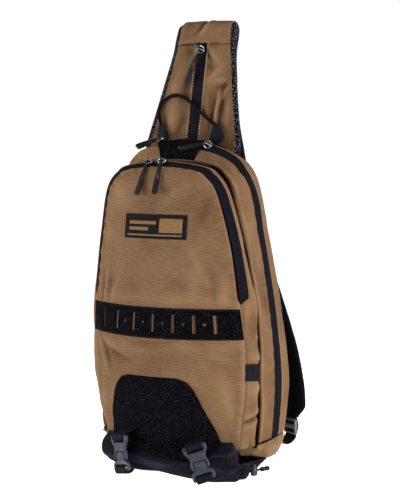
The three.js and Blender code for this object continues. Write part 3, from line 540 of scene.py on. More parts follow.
@dataclass
class Cloth:
    """A sheet of cloth with thickness, as grids of points, kept so that stitches can be laid on it."""

    outer: Array
    inner: Array
    normal: Array
    uv: Array
    wear_and_painted_shading: Array
    keep: Array | None = None

    def solid(self) -> Solid:
        """The closed sheet."""
        return shell(self.outer, self.inner, self.uv, self.wear_and_painted_shading, self.keep)

    def line(self, edge: Edge, inset: float) -> tuple[Array, Array]:
        """The line on the outer face that runs inset mm in from an edge.

        Args: edge: which edge. inset: how far in.

        Returns: its points and the cloth's outward directions there.
        """
        points, normals = self.outer, self.normal
        if edge is Edge.START_U:
            points, normals = points.swapaxes(0, 1), normals.swapaxes(0, 1)
        if edge is Edge.END_V:
            points, normals = points[:, ::-1], normals[:, ::-1]
        far = np.cumsum(np.linalg.norm(np.diff(points, axis=1), axis=2), axis=1)
        far = np.concatenate([np.zeros((len(points), 1)), far], axis=1)
        j = np.clip((far < inset).sum(1) - 1, 0, points.shape[1] - 2)
        row = np.arange(len(points))
        span = np.maximum(far[row, j + 1] - far[row, j], 1e-9)
        w = ((inset - far[row, j]) / span).clip(0, 1)[:, None]
        return mix(points[row, j], points[row, j + 1], w), unit(mix(normals[row, j], normals[row, j + 1], w))


def measured(points: Array) -> Array:
    """A flat place for each point of a grid: the length walked down its column and along its row, in mm.

    Args: points: (rows, columns, 3).

    Returns: (rows, columns, 2).
    """
    du = np.linalg.norm(np.diff(points, axis=0), axis=2)
    dv = np.linalg.norm(np.diff(points, axis=1), axis=2)
    u = np.concatenate([np.zeros((1, points.shape[1])), np.cumsum(du, axis=0)])
    v = np.concatenate([np.zeros((points.shape[0], 1)), np.cumsum(dv, axis=1)], axis=1)
    return np.stack([np.repeat(u.mean(1, keepdims=True), points.shape[1], 1), v], -1)


def facing(points: Array) -> Array:
    """Unit normals of a grid of points, from its slopes both ways."""
    return unit(np.cross(np.gradient(points, axis=0), np.gradient(points, axis=1)))


def cloth(
    points: Array,
    out: float | Array,
    thickness: float,
    lift: float = 0.0,
    relief: Array | float = 0.0,
    hem: float = 1.6,
    uv: Array | None = None,
    wear_and_painted_shading: Array | float = 0.0,
) -> Cloth:
    """A sheet laid on a grid of points, with soft edges.

    Formula: each point moves out along the grid's normal by lift and relief, and the inner face lies a
    thickness below; within a hem of an edge the faces close in on each other as the quarter of an ellipse.

    Args: points: (rows, columns, 3). out: 1 or -1, the side of the grid that faces out, or the normals.
        thickness, lift, hem: in mm. relief: the outer face's height at each point. uv: flat places in mm.
        The last argument is painted shading: a painted highlight above 0 and painted shade below, added to a
            third of the relief.

    Returns: the sheet.
    """
    spans = measured(points)
    normal = out if isinstance(out, np.ndarray) else facing(points) * out
    side = np.minimum(spans[..., 1], spans[:, -1:, 1] - spans[..., 1])
    end = np.minimum(spans[..., 0], spans[-1:, :, 0] - spans[..., 0])
    near = np.clip(np.minimum(side, end) / hem, 0, 1)
    close = (thickness / 2 - HALF_EDGE) * arc(1 - near)
    rise = np.broadcast_to(lift + relief, close.shape)
    outer = points + normal * (rise - close)[..., None]
    inner = points + normal * (rise - thickness + close)[..., None]
    turned = facing(outer)
    turned = turned * np.sign(np.sum(turned * normal, -1, keepdims=True) + 1e-12)
    # Painted shading: a third of the relief paints ridges lighter and creases darker, and the painted shading
    # asked for is added.
    painted_light = np.broadcast_to(np.clip(np.asarray(relief) / 3, -1, 1) + wear_and_painted_shading, close.shape)
    return Cloth(outer, inner, turned, spans if uv is None else uv, painted_light)


def strip(path: Array, width: float, first: Point, last: Point, thickness: float) -> Cloth:
    """Flat webbing along a path.

    Formula: a straight line across the path, its direction turning evenly from the first to the last.

    Args: path: (n, 3). width: in mm. first, last: directions across. thickness: in mm.

    Returns: the webbing, as long as the path.
    """
    w = np.linspace(0, 1, len(path))[:, None]
    across = unit(mix(np.asarray(first, float), np.asarray(last, float), w))
    share = 2 * spaced(12, width, 1.0) - 1
    grid = path[:, None] + across[:, None] * (width / 2) * share[None, :, None]
    return cloth(grid, 1.0, thickness, lift=thickness / 2, hem=0.8)


def rounded(corners: Outline, radius: float, steps: int = 5) -> Array:
    """A closed outline with its corners rounded.

    Formula: each corner gives way to a quadratic arc that starts and ends a radius away from it, or less on a
    short side.

    Args: corners: (x, z) in order. radius: in mm. steps: points of each arc.

    Returns: (n, 2) points.
    """
    p = np.asarray(corners, float)
    before, after = np.roll(p, 1, axis=0) - p, np.roll(p, -1, axis=0) - p
    reach = [np.minimum(radius, np.linalg.norm(v, axis=1, keepdims=True) * 0.45) for v in (before, after)]
    a, b = p + unit(before) * reach[0], p + unit(after) * reach[1]
    w = np.linspace(0, 1, steps)[None, :, None]
    curve = (1 - w) ** 2 * a[:, None] + 2 * w * (1 - w) * p[:, None] + w**2 * b[:, None]
    return curve.reshape(-1, 2)


def rounded_box(x: float, z: float, width: float, height: float, radius: float) -> Array:
    """A rounded upright rectangle about (x, z), counter-clockwise; backwards, it is a hole."""
    w, h = width / 2, height / 2
    return rounded([(x + w, z - h), (x + w, z + h), (x - w, z + h), (x - w, z - h)], radius)


def moulding(outline: Array, holes: Sequence[Array], thickness: float, bevel: float) -> Solid:
    """A flat moulded plate with rounded edges, its outline in XZ and its thickness along Y about y = 0.

    Args: outline: (n, 2). holes: outlines cut out of it. thickness, bevel: in mm.

    Returns: the plate.
    """
    curve = bpy.data.curves.new("moulding", "CURVE")
    curve.dimensions = "2D"
    curve.fill_mode = "BOTH"
    curve.extrude = thickness / 2 - bevel
    curve.bevel_depth = bevel
    curve.bevel_resolution = 2
    curve.offset = -bevel
    for ring in (outline, *holes):
        spline = curve.splines.new("POLY")
        spline.points.add(len(ring) - 1)
        flat = np.concatenate([ring, np.zeros((len(ring), 1)), np.ones((len(ring), 1))], axis=1)
        spline.points.foreach_set("co", flat.ravel())
        spline.use_cyclic_u = True
    holder = bpy.data.objects.new("moulding", curve)
    bpy.context.scene.collection.objects.link(holder)
    made = bpy.data.meshes.new_from_object(holder.evaluated_get(bpy.context.evaluated_depsgraph_get()))
    points = np.zeros(3 * len(made.vertices))
    made.vertices.foreach_get("co", points)
    points = points.reshape(-1, 3)
    made.calc_loop_triangles()
    corners = np.zeros(3 * len(made.loop_triangles), int)
    made.loop_triangles.foreach_get("vertices", corners)
    bpy.data.objects.remove(holder)
    bpy.data.meshes.remove(made)
    bpy.data.curves.remove(curve)
    _, first, same = np.unique(np.round(points, 4), axis=0, return_index=True, return_inverse=True)
    triangles = same.reshape(-1)[corners].reshape(-1, 3)
    whole = (np.diff(np.sort(triangles, axis=1), axis=1) > 0).all(1)
    kept = points[first]
    upright = np.stack([kept[:, 0], -kept[:, 2], kept[:, 1]], -1)
    return Solid(upright, [triangles[whole]], upright[:, [0, 2]]).facing_out()


def linked(name: str, data: bpy.types.ID) -> bpy.types.Object:
    """A new object for a mesh, light or camera, in the scene.

    Args: name: of the object. data: what it shows.

    Returns: the object.
    """
    made = bpy.data.objects.new(name, data)
    bpy.context.scene.collection.objects.link(made)
    return made


def piece(
    name: str,
    parts: Sequence[Solid | Cloth],
    finish: "Finish",
    *nodes: str,
    slot: Slot | None = None,
    sharp: float = 50.0,
) -> bpy.types.Object:
    """Makes one object of its parts, dresses it, and has it ride on the pack.

    Args: name: of the object. parts: in mm. finish: what it is dressed in. nodes: solids of the frame that it
    stands for. slot: not used. sharp: the angle, in degrees, of edges that stay crisp.

    Returns: the object.
    """
    solids = [part.solid() if isinstance(part, Cloth) else part for part in parts]
    counts = np.cumsum([0] + [len(s.points) for s in solids])
    points = (np.concatenate([s.points for s in solids]) + ROW_SHIFT) * MM
    uv = np.concatenate([s.uv for s in solids]) * MM
    wear_and_painted_shading = np.concatenate([np.zeros(len(s.points)) if s.wear_and_painted_shading is None else s.wear_and_painted_shading for s in solids])
    faces = [f + start for s, start in zip(solids, counts) for f in s.faces]
    loops = np.concatenate([f.ravel() for f in faces]).astype(np.int32)
    totals = np.concatenate([np.full(len(f), f.shape[1]) for f in faces])
    starts = np.r_[0, np.cumsum(totals)[:-1]].astype(np.int32)
    mesh = bpy.data.meshes.new(name)
    mesh.vertices.add(len(points))
    mesh.vertices.foreach_set("co", points.astype(np.float32).ravel())
    mesh.loops.add(len(loops))
    mesh.loops.foreach_set("vertex_index", loops)
    mesh.polygons.add(len(starts))
    mesh.polygons.foreach_set("loop_start", starts)
    layer = mesh.uv_layers.new(name="cut")
    layer.data.foreach_set("uv", uv[loops].astype(np.float32).ravel())
    mesh.polygons.foreach_set("use_smooth", np.ones(len(starts), bool))
    mesh.update(calc_edges=True)
    mesh.validate()
    # Each point's painted shading, which the canvas finishes read into their tone.
    mesh.attributes.new("wear_and_painted_shading", "FLOAT", "POINT").data.foreach_set("value", wear_and_painted_shading.astype(np.float32))
    mesh.set_sharp_from_angle(angle=math.radians(sharp))
    mesh.materials.append(material_of(finish))
    made = linked(name, mesh)
    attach(made, "root")
    if nodes:
        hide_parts(*nodes)
    LOG.info("%s: %d faces", name, len(starts))
    return made


# Finishes


def shade(colour: Colour) -> tuple[float, float, float, float]:
    """A colour from 0 to 255, as it looks on a screen, in the renderer's linear light.

    Args: colour: red, green and blue.

    Returns: the three in linear light, and 1 for opaque.
    """
    c = np.array(colour, float) / 255
    linear = np.where(c <= 0.04045, c / 12.92, ((c + 0.055) / 1.055) ** 2.4)
    return (*(float(x) for x in linear), 1.0)


@dataclass(frozen=True)
class Signal:
    """A node's output, which can be added, subtracted and multiplied like a number."""

    board: "Board"
    socket: bpy.types.NodeSocket

    def __add__(self, other: "Signal | float") -> "Signal":
        """The sum of the two."""
        return self.board.math("ADD", self, other)

    def __sub__(self, other: "Signal | float") -> "Signal":
        """The difference of the two."""
        return self.board.math("SUBTRACT", self, other)

    def __mul__(self, other: "Signal | float") -> "Signal":
        """The product of the two."""
        return self.board.math("MULTIPLY", self, other)


class Board:
    """A new material's nodes, with short ways to add to them."""

    def __init__(self, name: str, **constants: object) -> None:
        """Args: name: of the material. constants: values for the shader's own sockets, _ for a space."""
        self.material = bpy.data.materials.new(name)
        self.material.use_nodes = True
        self.tree = self.material.node_tree
        self.shader = self.tree.nodes["Principled BSDF"]
        for key, value in constants.items():
            self.shader.inputs[key.replace("_", " ")].default_value = value

    def node(self, kind: str, inputs: dict, **settings: object) -> bpy.types.Node:
        """Adds a node.

        Args: kind: its type. inputs: a value or a signal for each socket. settings: its properties.

        Returns: the node.
        """
        made = self.tree.nodes.new(kind)
        for key, value in settings.items():
            setattr(made, key, value)
        for key, value in inputs.items():
            if isinstance(value, Signal):
                self.tree.links.new(value.socket, made.inputs[key])
            else:
                made.inputs[key].default_value = value
        return made

    def signal(self, kind: str, inputs: dict, output: str | int = 0, **settings: object) -> Signal:
        """Adds a node, as for node(), and gives the output named."""
        return Signal(self, self.node(kind, inputs, **settings).outputs[output])

    def link(self, signal: Signal, socket: str) -> None:
        """Joins a signal to a socket of the shader."""
        self.tree.links.new(signal.socket, self.shader.inputs[socket])

    def math(self, operation: str, a: Signal | float, b: Signal | float = 0.0) -> Signal:
        """One sum of two numbers or signals."""
        return self.signal("ShaderNodeMath", {0: a, 1: b}, operation=operation)

    def place(self) -> Signal:
        """The piece's flat places in metres."""
        return self.signal("ShaderNodeUVMap", {}, uv_map="cut")

    def cut(self) -> tuple[Signal, Signal]:
        """The two parts of the flat places: along the piece and across it."""
        split = self.node("ShaderNodeSeparateXYZ", {0: self.place()})
        return Signal(self, split.outputs[0]), Signal(self, split.outputs[1])

    def wave(self, place: Signal, pitch: float) -> Signal:
        """A sine of the place, from -1 to 1, that repeats every pitch mm."""
        return self.math("SINE", place * (2 * math.pi / (pitch * MM)))

    def noise(self, pitch: Sequence[float], detail: float = 2.0) -> Signal:
        """Noise from 0 to 1 with grains of pitch mm: on the cut for two pitches, in space for three.

        Args: pitch: two or three distances. detail: octaves of finer grain.

        Returns: the noise.
        """
        place = self.place() if len(pitch) == 2 else self.signal("ShaderNodeTexCoord", {}, "Object")
        grains = [1 / (p * MM) for p in (*pitch, pitch[-1])][:3]
        scaled = self.signal("ShaderNodeMapping", {"Vector": place, "Scale": grains})
        return self.signal(
            "ShaderNodeTexNoise", {"Vector": scaled, "Scale": 1.0, "Detail": detail, "Roughness": 0.55}
        )

    def ramp(self, value: Signal, *stops: tuple[float, Sequence[float]]) -> Signal:
        """A colour for each value, mixed between stops of (value, colour).

        Args: value: what is looked up. stops: from low to high.

        Returns: the colour.
        """
        made = self.node("ShaderNodeValToRGB", {0: value})
        elements = made.color_ramp.elements
        while len(elements) < len(stops):
            elements.new(0.5)
        for element, (place, colour) in zip(elements, stops):
            element.position = place
            element.color = colour
        return Signal(self, made.outputs[0])

    def dress(self, colour: Signal, height: Signal, depth: float, strength: float) -> Material:
        """Sets the colour, and a bump of depth mm from a height, and gives the material.

        Args: colour: of the base. height: in shares of the depth. depth: in mm. strength: how much of the
            bump shows.

        Returns: the material.
        """
        self.link(colour, "Base Color")
        inputs = {"Height": height, "Distance": depth * MM, "Strength": strength}
        self.link(self.signal("ShaderNodeBump", inputs), "Normal")
        return self.material


@dataclass(frozen=True)
class Finish:
    """What every finish has: its material's name, and the record's slot that its pieces belong to."""

    name: str
    slot: Slot

    def material(self) -> Material:
        """The finish as a new material."""
        raise NotImplementedError


@functools.cache
def material_of(finish: Finish) -> Material:
    """A finish's material, made when it is first asked for."""
    return finish.material()


@dataclass(frozen=True)
class Canvas(Finish):
    """Woven canvas: a fine weave, wavy ripples, slubs across the piece, mottling, and painted shading by its
    folds: painted shade in creases and grooves, painted highlight on ridges.
    """

    # The first colour is a painted shadow colour, reached where painted shade is deep; the last is reached by
    # the lightest threads of the weave and by painted highlight on ridges.
    crease: Colour
    deep: Colour
    colour: Colour
    painted_light: Colour
    weave: float = 1.2
    slub: tuple[float, float] = (1.5, 10.0)
    slub_share: float = 0.5
    ripple: float = 3.1
    ripple_share: float = 0.1
    weave_share: float = 0.12
    cloud_share: float = 0.34
    # How much of the painted shading goes into the tone.
    painted_shading_share: float = 0.34

    def material(self) -> Material:
        """The finish as a new material: a tone and a bump that are weighted sums of its parts.

        Returns: the material.
        """
        board = Board(
            self.name, Roughness=0.88, Specular_IOR_Level=0.15, Sheen_Weight=0.04, Sheen_Roughness=0.45
        )
        along, across = board.cut()
        weave = board.wave(along, self.weave) * board.wave(across, self.weave)
        slub = board.noise(self.slub, 1.5)
        cloud = board.noise((38.0, 38.0, 38.0), 3.0)
        sway = board.noise((26.0, 26.0), 2.0) * (9 * MM)
        ripple = board.wave(sway + (along + across * 0.1), self.ripple)
        # The mesh attribute is painted shading: painted shade in creases and grooves, painted highlight on
        # ridges.
        wear_and_painted_shading = board.signal("ShaderNodeAttribute", {}, "Fac", attribute_name="wear_and_painted_shading")
        tone = weave * self.weave_share + ripple * self.ripple_share + (0.33 - self.slub_share / 2)
        tone = tone + slub * self.slub_share + cloud * self.cloud_share + wear_and_painted_shading * self.painted_shading_share
        # Stops from the painted shadow colour to the light tone that painted highlight and the lightest weave
        # reach.
        stops = zip((0.0, 0.26, 0.5, 0.82), map(shade, (self.crease, self.deep, self.colour, self.painted_light)))
        height = weave * 0.35 + slub * (2 * self.slub_share) + ripple * (2.3 * self.ripple_share)
        return board.dress(board.ramp(tone, *stops), height, 0.4, 0.6)


@dataclass(frozen=True)
class LoopPile(Finish):
    """Napped loop fabric: matt and dark, with small glints where loops stand up."""

    deep: Colour
    glint: Colour
    pitch: float = 1.3

    def material(self) -> Material:
        """The finish as a new material: dark up to a level of its grain, then rising to the glints.

        Returns: the material.
        """
        board = Board(
            self.name, Roughness=0.95, Specular_IOR_Level=0.06, Sheen_Weight=0.015, Sheen_Roughness=0.6
        )
        grain = board.noise((self.pitch,) * 3, 2.5)
        tone = grain + (board.noise((14.0,) * 3, 2.0) - 0.5) * 0.1
        deep = shade(self.deep)
        colour = board.ramp(tone, (0.4, deep), (0.57, deep), (0.72, shade(self.glint)))
        return board.dress(colour, grain, 0.9, 0.8)


@dataclass(frozen=True)
class SpacerMesh(Finish):
    """Knitted spacer mesh: rounded holes between thick threads, with specks where threads catch the light."""

    hole: Colour
    thread: Colour
    pitch: float = 4.0
    speck: float = 1.7
    plain_from: float = 9.0

    def material(self) -> Material:
        """The finish as a new material: cells and specks, with fewer specks past plain_from metres along.

        Returns: the material.
        """
        board = Board(self.name, Roughness=0.85, Specular_IOR_Level=0.12)
        scale = [1 / (self.pitch * MM), 1 / (self.pitch * 0.8 * MM), 1.0]
        scaled = board.signal("ShaderNodeMapping", {"Vector": board.place(), "Scale": scale})
        inputs = {"Vector": scaled, "Scale": 1.0, "Randomness": 0.35}
        settings = {"voronoi_dimensions": "2D", "feature": "F1"}
        cells = board.signal("ShaderNodeTexVoronoi", inputs, "Distance", **settings)
        grain = board.noise((self.speck, self.speck), 1.0)
        along, _ = board.cut()
        start = self.plain_from
        span = {"Value": along, "From Min": start, "From Max": start + 0.05, "To Min": 0.0, "To Max": 0.3}
        rim = cells * 0.22 + (grain - board.signal("ShaderNodeMapRange", span))
        hole = shade(self.hole)
        colour = board.ramp(rim, (0.3, hole), (0.65, hole), (0.8, shade(self.thread)))
        return board.dress(colour, rim, 1.2, 0.7)


@dataclass(frozen=True)
class Ribbed(Finish):
    """Tape or webbing: fine ribs along it, a crosswise weave and a slight sheen."""

    deep: Colour
    light: Colour
    rib: float
    weft: float
    roughness: float = 0.55

    def material(self) -> Material:
        """The finish as a new material: two waves that cross, and a grain.

        Returns: the material.
        """
        board = Board(
            self.name, Roughness=self.roughness, Specular_IOR_Level=0.2,
            Sheen_Weight=0.01, Sheen_Roughness=0.4,
        )
        along, across = board.cut()
        weave = board.wave(across, self.rib) * 0.5 + board.wave(along, self.weft) * 0.4
        grain = board.noise((6.0, 2.5), 3.0)
        colour = board.ramp(weave * 0.18 + grain, (0.25, shade(self.deep)), (0.8, shade(self.light)))
        return board.dress(colour, weave + grain * 0.8, 0.35, 0.5)


@dataclass(frozen=True)
class Moulded(Finish):
    """Moulded plastic or rubber: nearly even colour with a fine grain."""

    deep: Colour
    light: Colour
    grain: float
    roughness: float
    bump: float = 0.25

    def material(self) -> Material:
        """The finish as a new material: a fine noise and a broad one in equal parts.

        Returns: the material.
        """
        board = Board(self.name, Roughness=self.roughness, Specular_IOR_Level=0.45)
        fine = board.noise((self.grain,) * 3, 3.0)
        tone = fine * 0.5 + board.noise((9.0,) * 3, 2.0) * 0.5
        colour = board.ramp(tone, (0.3, shade(self.deep)), (0.7, shade(self.light)))
        return board.dress(colour, fine, 0.15, self.bump)


@dataclass(frozen=True)
class Plated(Finish):
    """Nickel plate: bright metal with faint wear."""

    deep: Colour
    light: Colour

    def material(self) -> Material:
        """The finish as a new material: two tones of metal by a fine noise.

        Returns: the material.
        """
        board = Board(self.name, Metallic=1.0, Roughness=0.24)
        wear_and_painted_shading = board.noise((1.6,) * 3, 4.0)
        colour = board.ramp(wear_and_painted_shading, (0.3, shade(self.deep)), (0.65, shade(self.light)))
        return board.dress(colour, wear_and_painted_shading, 0.05, 0.3)


@dataclass(frozen=True)
class Braid(Finish):
    """Braided cord: strands that cross each other round it."""

    deep: Colour
    light: Colour
    pitch: float

    def material(self) -> Material:
        """The finish as a new material: the product of two waves that wind round opposite ways.

        Returns: the material.
        """
        board = Board(self.name, Roughness=0.75, Specular_IOR_Level=0.15)
        round_way, along = board.cut()
        cross = board.wave(round_way + along, self.pitch) * board.wave(round_way - along, self.pitch)
        colour = board.ramp(cross * 0.4 + 0.5, (0.2, shade(self.deep)), (0.85, shade(self.light)))
        return board.dress(colour, cross, 0.4, 0.7)


# Tones from low to high: a painted shadow colour, the deep and the mid tone, and a light tone that painted
# highlight reaches.
BROWNS = ((26, 19, 14), (120, 90, 61), (147, 112, 79), (174, 137, 101))
BLACKS = ((5, 5, 7), (10, 9, 15), (19, 18, 27), (56, 55, 74))
CANVAS = Canvas("brown_canvas", Slot.CANVAS, *BROWNS)
PLAIN_CANVAS = Canvas(
    "plain_brown_canvas", Slot.CANVAS, *BROWNS, slub=(1.6, 2.4), slub_share=0.32, ripple_share=0.012
)
POUCH_CLOTH = Canvas("black_pouch_cloth", Slot.WEBBING, *BLACKS, weave=1.0, slub=(1.6, 6.0))
LOOP_PILE = LoopPile("black_loop_pile", Slot.LOOP, (2, 2, 4), (68, 68, 86))
BACK_MESH = SpacerMesh("black_spacer_mesh", Slot.MESH, (6, 6, 9), (112, 112, 126))
STRAP_MESH = SpacerMesh("strap_mesh", Slot.MESH, (5, 5, 8), (170, 170, 184), plain_from=0.25)
ZIP_TAPE = Ribbed("black_zip_tape", Slot.ZIP, (9, 8, 17), (21, 20, 36), 1.1, 1.5, 0.75)
WEBBING = Ribbed("black_webbing", Slot.WEBBING, (8, 8, 14), (27, 27, 40), 1.7, 1.2, 0.6)
TAN_THREAD = Ribbed("tan_thread", Slot.CANVAS, (206, 182, 152), (236, 214, 188), 0.3, 0.6, 0.6)
DARK_THREAD = Ribbed("dark_thread", Slot.LOOP, (34, 34, 44), (78, 78, 96), 0.3, 0.6, 0.6)
PATCH = Ribbed("black_patch", Slot.BADGE, (11, 10, 14), (25, 24, 30), 0.7, 0.7, 0.7)
EMBROIDERY = Ribbed("tan_embroidery", Slot.BADGE, (150, 116, 72), (178, 140, 92), 0.6, 0.9, 0.7)
GREY_PLASTIC = Moulded("grey_acetal", Slot.PLASTIC, (62, 65, 77), (80, 83, 96), 0.8, 0.38)
# A lighter copy of the grey acetal, for the strap's adjuster: painted light standing in for its bright edges
# and glints.
LIT_PLASTIC = Moulded("lit_acetal", Slot.PLASTIC, (96, 98, 110), (134, 136, 148), 0.8, 0.3)
RUBBER = Moulded("dark_rubber", Slot.RUBBER, (9, 9, 15), (22, 22, 32), 0.7, 0.5, 0.35)
# The slider's body is a darker copy of the nickel plate, painted shade; its bridge and rim take the bright
# copy, a painted highlight.
SHADED_NICKEL = Plated("shaded_nickel_plate", Slot.NICKEL, (34, 34, 39), (70, 71, 76))
NICKEL = Plated("nickel_plate", Slot.NICKEL, (150, 151, 156), (215, 216, 222))
CORD = Braid("black_braid", Slot.CORD, (5, 5, 7), (20, 20, 26), 2.6)


# The bag's form


@dataclass(frozen=True)
class TrimPlaces:
    """Where the band and the badge lie on the front, in mm."""

    band_z: float = 178.0
    band_height: float = 42.0
    badge_z: float = 308.0
    badge_width: float = 98.0
    badge_height: float = 33.0


TRIM = TrimPlaces()
NAP = (Wave(1.0, 1.9), Wave(0.6, 3.4, 11))


@dataclass
class PackForm:
    """The bag's surfaces, from its sizes in mm."""

    wall: float = 2.0
    trim: float = 1.4
    gap: float = 0.4
    lift: float = 0.7
    seam_z: float = 23.0
    seam_fall: float = 12.0
    seam_width: float = 16.0
    floor_round: float = 0.85
    back_round: float = 6.0
    lean: float = 5.0
    lean_span: tuple = (300, 395)
    pocket_lean: float = -3.0
    pocket_lean_span: tuple = (290, 370)
    bevel: float = 10.0
    bevel_top: float = 5.5
    bevel_share: float = 0.38
    zip_end_z: float = 214.0
    zip_end_fade: float = 11.0
    zip_back: float = 10.0
    zip_narrow: float = 0.22
    roundness: float = 2.2
    clearance: float = 1.2
    hem_rise: float = 11.0
    flange: float = 9.0
    main_outline: tuple = (
        (138, 23), (142, 60), (143, 100), (139.5, 140), (133.5, 190), (124.5, 245),
        (116, 295), (108.5, 345), (99, 380), (83, 402), (46, 418), (0, 424),
    )
    floor_outline: tuple = (
        (-137.9, 22.5), (-138, 10), (-133, -4), (-121, -13), (-102, -16), (-50, -16), (0, -16),
    )
    pocket_outline: tuple = (
        (102, 2), (111, 38), (119, 80), (121, 140), (116, 204), (109, 262),
        (103.5, 293), (93.5, 340), (85.5, 362), (73.5, 376), (55, 386), (0, 391),
    )
    depths: tuple = (  # z, groove, zip, back, where the side's crest is
        (-4, 7, 37.5, 64, 0.8), (60, 5, 39, 73, 0.8), (140, 4, 39.5, 73, 0.8), (240, 2, 39, 68, 0.8),
        (319, 0, 34.5, 61, 0.75), (353, 0, 28, 56, 0.6), (376, 1, 19.5, 51, 0.46), (386, 2, 15.5, 49, 0.42),
        (405, 4, 13, 40, 0.36), (424, 8, 15, 39, 0.34),
    )
    fronts: tuple = (  # z, y at the middle and the edge, half width, side's reach at the groove, its bulge
        (0, -24, -3, 101, 21, 1), (20, -36, -9, 107, 18, 1), (50, -52, -16, 113.5, 13, 2),
        (100, -65, -20, 120, 6, 3), (150, -68, -21, 120.5, 5, 4), (204, -65, -26, 115.5, 5, 8),
        (262, -62, -29, 107, 3, 1), (306, -57, -31, 100, 2, 0), (350, -48, -32, 92, 1, 0),
        (380, -38, -31, 86, 2, 0), (400, -27, -27, 82, 3, 0),
    )
    dents: tuple = folds(
        (-62, 240, 100, 34, 17, 2.5), (78, 262, 110, 40, 17, 2.0), (-30, 128, 0, 50, 15, 1.5)
    )

    def __post_init__(self) -> None:
        """Makes the outlines and the columns of the tables."""
        self.main = Arch(self.main_outline)
        self.floor = Arch(self.floor_outline)
        self.pocket_arch = Arch(self.pocket_outline)
        self.groove, self.zip, self.back, self.crest = columns(self.depths)
        self.centre, self.edge, self.half, self.rear, self.bulge = columns(self.fronts)
        self.steps = np.linspace(0, 1, 601)
        rim = self.pocket(self.steps, np.ones_like(self.steps))[:, [0, 2]]
        rim = np.concatenate([rim, np.linspace(rim[-1], rim[0], 200)])
        self.drops = {arch: self.reach_in(arch, rim) for arch in (self.main, self.floor)}

    def leaning(self, z: Array) -> Array:
        """How far the bag leans to +X at a height."""
        return self.lean * ramp(z, *self.lean_span)

    def pocket_leaning(self, z: Array) -> Array:
        """How far the pocket leans to +X at a height."""
        return self.pocket_lean * ramp(z, *self.pocket_lean_span)

    def zipped(self, z: Array) -> Array:
        """1 where the pocket has its zip, 0 below the zip's ends."""
        return ramp(z, self.zip_end_z - self.zip_end_fade, self.zip_end_z)

    def reach_in(self, arch: Arch, rim: Array) -> Array:
        """How far inwards from an outline the pocket's rear edge lies, at even steps.

        Formula: walks in by the distance to the nearest point of the rim, eight times over.

        Args: arch: the main outline or the floor's. rim: (n, 2) points of that edge.

        Returns: a distance in mm for each step.
        """
        x, z, out_x, out_z = arch.at(self.steps)
        at = np.stack([x + self.leaning(z), z], -1)
        inward = -np.stack([out_x, out_z], -1)
        far = np.zeros(len(at))
        for _ in range(8):
            near = np.linalg.norm((at + inward * far[:, None])[:, None] - rim, axis=-1).min(1)
            far = far + np.maximum(near - self.clearance, 0)
        return far

    def drawn_in(self, arch: Arch, t: Array) -> Array:
        """How far the side is drawn in at the groove, at shares t of its outline."""
        return np.interp(t, self.steps, self.drops[arch])

    def side(self, arch: Arch, t: Array, s: Array) -> Array:
        """The side of the main compartment.

        Formula: the outline at share t, pushed back from the groove to the back edge as s goes from 0 to 1,
        and drawn in by the square of the distance from the crest to either edge, or on the floor's front by
        the quarter of an ellipse. The top leans to +X, and the floor's seam falls towards the front.

        Args: arch: the main outline or the floor's. t, s: shares along it and across.

        Returns: points in mm.
        """
        x, z, out_x, out_z = arch.at(t)
        y = mix(self.groove(z), self.back(z), s)
        crest = self.crest(z)
        ahead = np.clip((crest - s) / crest, 0, None)
        behind = np.clip((s - crest) / (1 - crest), 0, None)
        slope = mix(ahead**2, arc(ahead), self.floor_round if arch is self.floor else 0.0)
        drop = self.drawn_in(arch, t) * slope + self.back_round * behind**2
        fall = self.seam_fall * (1 - s) * bell(z - self.seam_z, self.seam_width)
        return np.stack([x + self.leaning(z) - out_x * drop, y, z - out_z * drop - fall], -1)

    def zip_share(self, t: Array, offset: float = 0.0) -> Array:
        """The share s of a line offset mm behind the main zip's middle, which lies further back at -X.

        Args: t: shares along the outline. offset: in mm.

        Returns: a share for each t.
        """
        _, z, _, _ = self.main.at(t)
        depth, crest = self.back(z) - self.groove(z), self.crest(z)
        back = self.zip_back * ramp(t, 0.5, 0.58) * ramp(z, 330, 380)
        middle = (self.zip(z) + back - self.groove(z)) / depth
        slope = 2 * self.drawn_in(self.main, t) * np.clip(crest - middle, 0, None) / (crest**2 * depth)
        narrow = 1 - self.zip_narrow * ramp(z, 330, 385)
        return middle + offset * narrow / (depth * np.hypot(1, slope))

    def front_y(self, x: Array, z: Array) -> Array:
        """y of the front: from middle to edge by a power of the share of the half width, with dents.

        Args: x, z: places in mm.

        Returns: y in mm.
        """
        share = np.minimum(np.abs(x) / self.half(z), 1.1)
        fade = 1 - ramp(share, 0.8, 1)
        centre = self.centre(z)
        return centre + (self.edge(z) - centre) * share**self.roundness + fade * rise_of(self.dents, x, z)

    def front(self, x: Array, z: Array, step: float = 0.4) -> tuple[Array, Array]:
        """Points of the pocket's front and its outward directions, from the slopes of its depth.

        Args: x, z: places in mm. step: what the slopes are taken over.

        Returns: both, as (..., 3).
        """
        slope_x = (self.front_y(x + step, z) - self.front_y(x - step, z)) / (2 * step)
        slope_z = (self.front_y(x, z + step) - self.front_y(x, z - step)) / (2 * step)
        out = unit(np.stack([slope_x, -np.ones_like(x), slope_z], -1))
        return np.stack([x, self.front_y(x, z), z], -1), out

